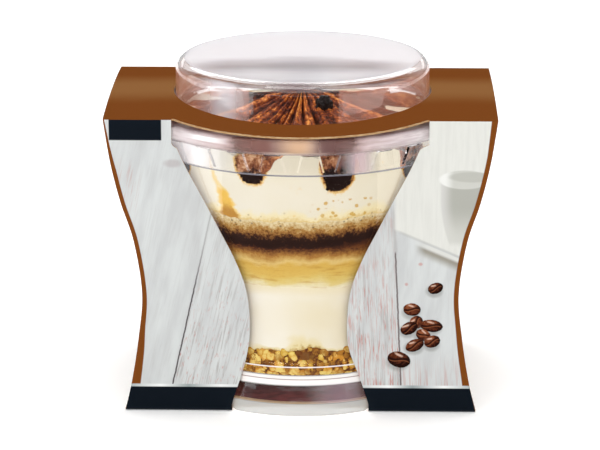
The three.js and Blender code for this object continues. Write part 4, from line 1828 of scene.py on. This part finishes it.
@dataclass
class CoffeePockets:
    """The pockets of coffee and cocoa that fill the valleys at the wall."""

    width: float = 6.3
    height: float = 7.8
    depth: float = 3.4
    top: float = 62.0
    spread: float = 0.2
    press: float = 1.1
    waves: Path = ((1.6, 0.2), (3.6, 0.18), (8.0, 0.12), (17.0, 0.07))

    def angle(self, index: int) -> float:
        """Angle of a pocket from the front."""
        return SWIRL.first_valley + index * SWIRL.pitch

    def size(self, index: int) -> tuple[float, float]:
        """Width and height of a pocket."""
        return self.width + 0.6 * math.sin(2.4 * index - 0.6), self.height + 0.8 * math.cos(2.6 * index + 3.1)

    def build(self, material: Material) -> list[Piece]:
        """Builds the pockets.

        Args:
            material: Their material.

        Returns:
            The pieces, each in place of its node.
        """
        blob = ball(bmesh.ops.create_uvsphere, 4, u_segments=64, v_segments=44)
        return [self._build_one(index, blob, material) for index in range(SWIRL.lobes)]

    def _build_one(self, index: int, blob: tuple[Array, Array], material: Material) -> Piece:
        """Builds one pocket, ragged at its lower edge and flat against the wall.

        Args:
            index: Its number, from 0.
            blob: Points and faces of a ball.
            material: Its material.

        Returns:
            The pocket, in place of its node.
        """
        shape, faces = blob
        width, height = self.size(index)
        block = np.sign(shape) * np.abs(shape) ** 0.6
        block = block / np.maximum(np.linalg.norm(block, axis=1, keepdims=True), 1.0) ** 0.35
        swell = np.array([self._swell(Vector(point), index) for point in shape])
        block = np.clip(block * swell[:, None], -1, 1)
        block[:, 0] *= 1 + self.spread * block[:, 2]
        block = block * np.array([width / 2, self.depth / 2, height / 2])
        angle = self.angle(index)
        z = self.top - height / 2 + block[:, 2]
        wall = TUMBLER.contents_at(z) + 0.05
        reach = np.minimum(wall - self.depth / 2 - block[:, 1] + self.press, wall)
        points = around(reach, angle + block[:, 0] / np.maximum(reach, 20.0), z)
        lift = 0.6 - 0.6 * math.cos(1.6 * index)
        draft = Draft()
        draft.add(points, faces, over=z - SWIRL.valley_at_wall - lift)
        piece = draft.build(f"coffee_{index + 1}", [material], weld=0)
        return settle(piece, "coffee", f"coffee_pocket_{index + 1}")

    def _swell(self, point: Vector, index: int) -> float:
        """How far a point of a pocket stands out or in, as a factor."""
        shift = (9.0 * index, 2.0)
        return 1 + sum(size * noise.noise(point * fine + Vector((*shift, fine))) for fine, size in self.waves)


@dataclass
class PipedCream:
    """The upper cream with its piped swirl, down to the cocoa."""

    pockets: CoffeePockets
    rings: int = 110
    wall_rows: int = 46

    def build(self, material: Material) -> Piece:
        """Builds the cream.

        Args:
            material: Its material.

        Returns:
            The cream, in place of its node.
        """
        draft = Draft()
        angle = FULL_TURN
        top = Level.PIPED.height(1.0, angle)
        bottom = Level.COCOA.height(1.0, angle)
        level = np.linspace(0, 1, self.wall_rows)[:, None]
        height = bottom + level * (top - bottom)
        reach = TUMBLER.contents_at(height)
        draft.add_grid(around(reach, angle, height), closed=True, **self._marks(1.0, angle, height, bottom))
        share = np.linspace(1, 0, self.rings)[:, None]
        surface = Level.PIPED.height(share, angle) + SWIRL.ridges(share, angle)
        surface = surface + self._rough(share, angle)
        surface[0] = top
        cover = around(share * TUMBLER.contents_at(surface), angle, surface)
        draft.add_grid(cover, closed=True, **self._marks(share, angle, surface, bottom))
        inward = np.linspace(0, 1, 8)[:, None]
        under = around(inward * reach[0], angle, Level.COCOA.height(inward, angle))
        draft.add_grid(under, closed=True, **self._marks(1.0, angle, under[..., 2], under[..., 2]))
        return settle(draft.build("piped_cream", [material]), "cream", "upper_cream")

    def _rough(self, share: Array, angle: Array) -> Array:
        """Small crags of the piped surface, none at the wall."""
        grid = around(share * 33.0, angle, np.zeros_like(share + angle)).reshape(-1, 3)
        fine = np.array([noise.noise(Vector(p) * 0.9) + 0.6 * noise.noise(Vector(p) * 2.1) for p in grid])
        return 0.16 * fine.reshape(np.shape(share + angle)) * step_up(1 - share + 0 * angle, 0.0, 0.06)

    def _marks(self, share: Array, angle: Array, height: Array, bottom: Array) -> dict:
        """Stored values for the cream's stains and dust, with the painted light and shade of the dust.

        Args:
            share: Share of the radius.
            angle: Angle from the front.
            height: Height of each point.
            bottom: Height of the cocoa below it.

        Returns:
            Values by name.
        """
        shape = np.shape(height)
        share, angle = np.broadcast_to(share, shape), np.broadcast_to(angle, shape)
        lobe = SWIRL.lobe(angle)
        on_top = step_up(0.995 - share, 0.0, 0.01)
        # Where the darker peak cocoa takes over; the paler cocoa at the wall is painted light.
        crown = step_up(share, 0.85, 0.6)
        right = step_up(share, 0.5, 0.6) * step_up(np.abs(angle - math.radians(86)), 0.3, 0.14)
        bare = step_up(share, 0.5, 0.65) * step_up(lobe, 0.7, 0.9) * step_up(np.abs(angle + 2.5), 0.4, 0.2)
        bare = np.maximum(bare, right)
        soil = self._soil(angle, height)
        dust = np.maximum(on_top * np.clip(crown * (1 - bare) + (1 - lobe) * 0.6 * (1 - right), 0, 1), soil)
        # Painted shade: the dust's depth grows in the grooves between ridges and on the swirl's far side.
        groove = 0.5 - SWIRL.ridges(share, angle) / SWIRL.ridge_depth
        far_side = 0.45 * step_up(-np.cos(angle), -0.35, 0.25)
        crown_hollow = 0.85 * groove + 0.3 * (1 - lobe) + far_side
        hollow = np.clip(1.25 * (1 - lobe) * (1 - crown) + crown * crown_hollow, 0, 1.3)
        return {
            "above": np.where(share > 0.9, height - bottom, FAR),
            "dust": dust,
            "crown": crown,
            "hollow": hollow,
            "stain": self._stain(angle, height) * (share > 0.85),
            "drip": self._drip(angle, height) * (share > 0.97),
            "spots": self._spots(angle, height),
        }

    def _soil(self, angle: Array, height: Array) -> Array:
        """Cocoa that shows beside each valley, as a wedge that opens upwards."""
        turn = (angle - SWIRL.first_valley) / SWIRL.pitch
        index = np.round(turn)
        away, lean = (turn - index) * SWIRL.pitch, np.cos(1.6 * index)
        uneven = 0.012 * np.sin(5 * angle + 1.0) + 0.008 * np.sin(37 * angle + height)
        right = np.interp(height, [57, 58, 61, 64], [0.07, 0.09, 0.12, 0.15])
        right = right + lean * np.interp(height, [57, 61, 64], [0, 0.05, 0.11])
        left = np.interp(height, [57, 64], [0.09, 0.123]) - lean * np.interp(height, [57, 64], [0.03, 0.061])
        reach = np.where(away > 0, right, left) + uneven
        beside = step_up(np.abs(away) - reach, 0.012, -0.012) * step_up(height, 56.4, 57.4)
        brim = step_up(height + 0.5 * np.sin(23 * angle) + 0.3 * np.sin(41 * angle), 62.0, 63.4)
        return np.maximum(beside, 0.8 * brim * step_up(np.cos(3 * angle), 0.2, 0.7))

    def _stain(self, angle: Array, height: Array) -> Array:
        """How near a place is to a coffee pocket, from 0 to 1."""
        stain = np.zeros(np.shape(height))
        for index in range(SWIRL.lobes):
            width, tall = self.pockets.size(index)
            away = (angle - self.pockets.angle(index) + math.pi) % (2 * math.pi) - math.pi
            x = away * 33.5 / (width / 2 + 0.4)
            z = (height - self.pockets.top + tall / 2) / (tall / 2 + 0.4)
            x = x / (1 + self.pockets.spread * np.clip(z, -1, 1))
            stain = np.maximum(stain, step_up((np.abs(x) ** 2.6 + np.abs(z) ** 2.6) ** (1 / 2.6), 1.34, 0.86))
        return stain

    def _drip(self, angle: Array, height: Array) -> Array:
        """A run of coffee down the wall, left of the front."""
        levels = [43, 46, 50, 52.8, 55, 58, 62]
        course = np.radians(np.interp(height, levels, [-29.3, -29.8, -30.6, -31.8, -34.3, -34.9, -34.7]))
        width = np.interp(height, levels, [3.4, 2.7, 1.9, 1.4, 0.8, 0.4, 0.34])
        strength = np.interp(height, [45, 52, 53.2, 57.4, 57.8, 62], [1.0, 1.0, 0.5, 0.5, 1.0, 0.9])
        ragged_by = 1 + 0.12 * np.sin(2.3 * height) + 0.08 * np.sin(5.1 * height + 1.0)
        return step_up(np.abs(angle - course) * 33 / (width * ragged_by), 1.5, 0.35) * strength

    def _spots(self, angle: Array, height: Array) -> Array:
        """Where golden spots show low on the wall, right of the front and at the back."""
        place = np.maximum(
            step_up(np.abs(angle - math.radians(19)), 0.3, 0.12),
            step_up(np.abs(np.abs(angle) - math.radians(150)), 0.5, 0.2),
        )
        return place * step_up(height, 52.0, 50.0) * step_up(height, 46.0, 47.5)


@dataclass
class ChocolatePiece:
    """The dark broken piece beside the peak: broken faces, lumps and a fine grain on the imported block."""

    size: float = 0.9
    broken: float = 0.2
    lumps: float = 0.3
    grit: float = 0.1
    limit: float = 1.05

    def build(self, material: Material) -> Piece:
        """Builds the piece.

        Args:
            material: Its material.

        Returns:
            The piece, in place of its node.
        """
        low, high = (np.array(corner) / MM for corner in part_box("chocolate_piece"))
        centre, half = (low + high) / 2, (high - low) / 2
        points, faces = ball(bmesh.ops.create_icosphere, 3, subdivisions=5)
        reach = np.array([self._reach(Vector(point)) for point in points])
        mesh = bpy.data.meshes.new("chocolate")
        mesh.from_pydata(((centre + half * points * reach[:, None]) * MM).tolist(), [], faces.tolist())
        mesh.shade_smooth()
        return settle(placed("chocolate", mesh, material), "chocolate", "chocolate_piece")

    def _reach(self, point: Vector) -> float:
        """How far the surface lies from the middle, as a share of the block."""
        near, next_near = noise.voronoi(point * 1.3 + Vector((3.0, 1.0, 8.0)))[0][:2]
        reach = self.size + self.broken * (next_near - near) + self.lumps * noise.noise(point * 2.3)
        return min(reach + self.grit * noise.noise(point * 7.0), self.limit)


# ---- studio


class Rays(Enum):
    """What a lamp or a screen acts on: matte light, gloss, or only what is seen through the plastic."""

    MATTE = "matte"
    GLOSS = "gloss"
    THROUGH = "through"


@dataclass(frozen=True)
class Lamp:
    """A soft lamp: where it stands, where it points, its size and its brightness."""

    name: str
    place: Point
    aim: Point
    size: Pair
    brightness: float
    colour: Point = WHITE[:3]
    rays: Rays = Rays.MATTE
    spin: float = 0.0

    def build(self) -> None:
        """Builds the lamp."""
        light = bpy.data.lights.new(self.name, "AREA")
        light.shape = "RECTANGLE"
        light.size, light.size_y = self.size
        light.energy, light.color = self.brightness * math.pi * self.size[0] * self.size[1], self.colour
        lamp = bpy.data.objects.new(self.name, light)
        lamp.location = self.place
        facing = (Vector(self.aim) - Vector(self.place)).to_track_quat("-Z", "Y")
        lamp.rotation_euler = (facing @ Quaternion((0, 0, 1), self.spin)).to_euler()
        limit_rays(lamp, self.rays)
        bpy.context.scene.collection.objects.link(lamp)


def limit_rays(thing: Piece, rays: Rays) -> None:
    """Hides a lamp or a screen from the camera and from surfaces that it doesn't act on."""
    thing.visible_camera = False
    thing.visible_diffuse = rays is Rays.MATTE
    thing.visible_glossy = rays is Rays.GLOSS
    thing.visible_transmission = rays is not Rays.MATTE


@dataclass
class Studio:
    """Plain pale floor, soft light and the camera."""

    elevation: float = 16.07
    azimuth: float = 1.22
    distance: float = 667.03
    target: Point = (-0.6, 0.0, 36.44)
    focal_pixels: float = 2884.04
    image_width: float = 600.0
    sensor: float = 36.0
    daylight: float = 0.3
    lamps: tuple[Lamp, ...] = (
        Lamp("overhead", (0, 0.1, 1.2), (0, 0.1, 0), (1.9, 1.9), 2.05),
        Lamp("front", (-0.3, -1.2, 0.4), (0, 0, 0.04), (1.4, 0.8), 1.7),
        Lamp("front_high", (-0.1, -0.3, 0.9), (0, 0, 0.07), (0.5, 0.4), 6.0, rays=Rays.GLOSS),
        Lamp("left_front", (-0.22, -0.165, 0.105), (0, -0.03, 0.055), (0.13, 0.1), 2.2, rays=Rays.GLOSS),
        Lamp("foot_light", (0, -0.018, 0.0076), (0, -0.018, 0), (0.03, 0.012), 1.8),
        Lamp("behind", (0.0, 0.9, 0.276), (0, 0, 0.07), (1.2, 0.085), 0.85, rays=Rays.GLOSS),
        Lamp("behind_high", (0.0, 0.75, 0.62), (0, 0, 0.07), (0.9, 0.3), 3.0, rays=Rays.GLOSS),
        Lamp("left_glow", (-0.19, -0.02, 0.07), (0, 0, 0.055), (0.26, 0.15), 1.3, rays=Rays.GLOSS),
        Lamp("right_glow", (0.2, -0.03, 0.07), (0, 0, 0.055), (0.26, 0.15), 0.6, (1, 0.66, 0.55), Rays.GLOSS),
    )
    floor_tones: tuple[Colour, Colour] = (srgb(0xFAFAFA), srgb(0xFDFDFD))
    screen_tones: tuple[Colour, Colour] = (srgb(0x0E0C0C), srgb(0x120F0F))
    near_screen: Path = (
        (-0.06, -0.0265), (-0.17, -0.13), (0.16, -0.13), (0.055, -0.0265),
        (0.0165, -0.0265), (0.0165, -0.0315), (-0.0165, -0.0315), (-0.0165, -0.0265),
    )
    far_screen: Path = ((-0.13, -0.13), (-0.56, -0.65), (0.45, -0.65), (0.1, -0.13))
    flange_turns: tuple[int, ...] = (-40, 0, 40, 140, 180, 220)
    flange_radius: float = 0.0325
    flange_height: float = 0.0655
    flange_lamp: Pair = (0.022, 0.007)
    flange_brightness: float = 0.68

    def build(self) -> None:
        """Builds floor, light and camera."""
        self._sheet("floor", ((-3, -3), (3, -3), (3, 3), (-3, 3)), 0.0, self.floor_tones, 0.2)
        for name, corners in (("dark_screen_near", self.near_screen), ("dark_screen_far", self.far_screen)):
            limit_rays(self._sheet(name, corners, 0.0005, self.screen_tones), Rays.GLOSS)
        self._world()
        for lamp in (*self.lamps, *self._under_flange(), *self._surround()):
            lamp.build()
        self._camera()
        scene = bpy.context.scene
        scene.view_settings.view_transform = "Standard"
        scene.cycles.caustics_refractive = scene.cycles.caustics_reflective = False
        scene.cycles.max_bounces, scene.cycles.transmission_bounces = 24, 20
        scene.cycles.diffuse_bounces, scene.cycles.glossy_bounces = 4, 6

    def _under_flange(self) -> list[Lamp]:
        """Small lamps that stand in for the daylight which the lid's flange leads down onto the cream."""
        lamps = []
        for turn in self.flange_turns:
            angle = math.radians(turn)
            x, y = self.flange_radius * math.sin(angle), -self.flange_radius * math.cos(angle)
            over, under = (x, y, self.flange_height), (x, y, 0)
            name, size, glow = f"under_flange_{turn}", self.flange_lamp, self.flange_brightness
            lamps.append(Lamp(name, over, under, size, glow, spin=angle))
        return lamps

    def _surround(self) -> list[Lamp]:
        """Pale walls far away, seen only through the plastic."""
        far, middle, size = 3.0, 1.3, (6.0, 2.6)
        return [
            Lamp(f"wall_{x:.0f}_{y:.0f}", (x, y, middle), (0, 0, middle), size, glow, rays=Rays.THROUGH)
            for x, y, glow in ((0, far, 0.85), (0, -far, 0.04), (far, 0, 0.35), (-far, 0, 0.35))
        ]

    def _sheet(
        self, name: str, corners: Path, height: float, tones: tuple[Colour, Colour], glow: float = 0.0
    ) -> Piece:
        """Lays a flat sheet.

        Args:
            name: Its name.
            corners: Its corners, as x and y.
            height: Its height.
            tones: The two tones it drifts between.
            glow: Its own faint light.

        Returns:
            The sheet.
        """
        graph = Graph(f"studio_{name}")
        tone = graph.mix(graph.grain(0.004, 2), *tones)
        mesh = bpy.data.meshes.new(name)
        mesh.from_pydata([(x, y, height) for x, y in corners], [], [tuple(range(len(corners)))])
        sheet = placed(name, mesh, graph.surface(tone, 0.9, 0.1, glow=glow))
        return sheet

    def _world(self) -> None:
        """Even pale light from all round."""
        world = bpy.data.worlds.new("studio")
        world.use_nodes = True
        background = world.node_tree.nodes["Background"]
        background.inputs["Color"].default_value = WHITE
        background.inputs["Strength"].default_value = self.daylight
        world.cycles_visibility.glossy = False
        bpy.context.scene.world = world

    def _camera(self) -> None:
        """Places the camera and makes it the scene's."""
        rise, turn = math.radians(self.elevation), math.radians(self.azimuth)
        back = Vector((math.sin(turn) * math.cos(rise), -math.cos(turn) * math.cos(rise), math.sin(rise)))
        data = bpy.data.cameras.new("camera")
        data.sensor_width = self.sensor
        data.lens = self.focal_pixels / self.image_width * self.sensor
        data.clip_start, data.clip_end = 0.01, 50.0
        camera = bpy.data.objects.new("camera", data)
        camera.location = (Vector(self.target) + back * self.distance) * MM
        camera.rotation_euler = (-back).to_track_quat("-Z", "Y").to_euler()
        bpy.context.scene.collection.objects.link(camera)
        bpy.context.scene.camera = camera


def main() -> None:
    """Builds the dessert, its pack and the studio, in order."""
    logging.basicConfig(level=logging.INFO, format="%(name)s: %(message)s")
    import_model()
    CardSleeve().build()
    plastic = ClearPlastic().material()
    Tumbler().build(plastic)
    DomedLid().build(plastic)
    CrumbBase().build()
    cream = Cream()
    Layer("lower_cream_fill", Level.CRUMB, Level.LOWER_CREAM).build(cream.lower(), "cream", "lower_cream")
    sponge, cocoa = SoakedSponge().material(), MoistCocoa().material()
    Layer("sponge_fill", Level.LOWER_CREAM, Level.SPONGE).build(sponge, "sponge", "coffee_sponge")
    Layer("cocoa_fill", Level.SPONGE, Level.COCOA).build(cocoa, "cocoa", "cocoa_layer")
    pockets = CoffeePockets()
    pockets.build(CoffeeCocoa().material())
    PipedCream(pockets).build(cream.upper())
    ChocolatePiece().build(BrokenChocolate().material())
    Studio().build()


if __name__ == "__main__":
    main()
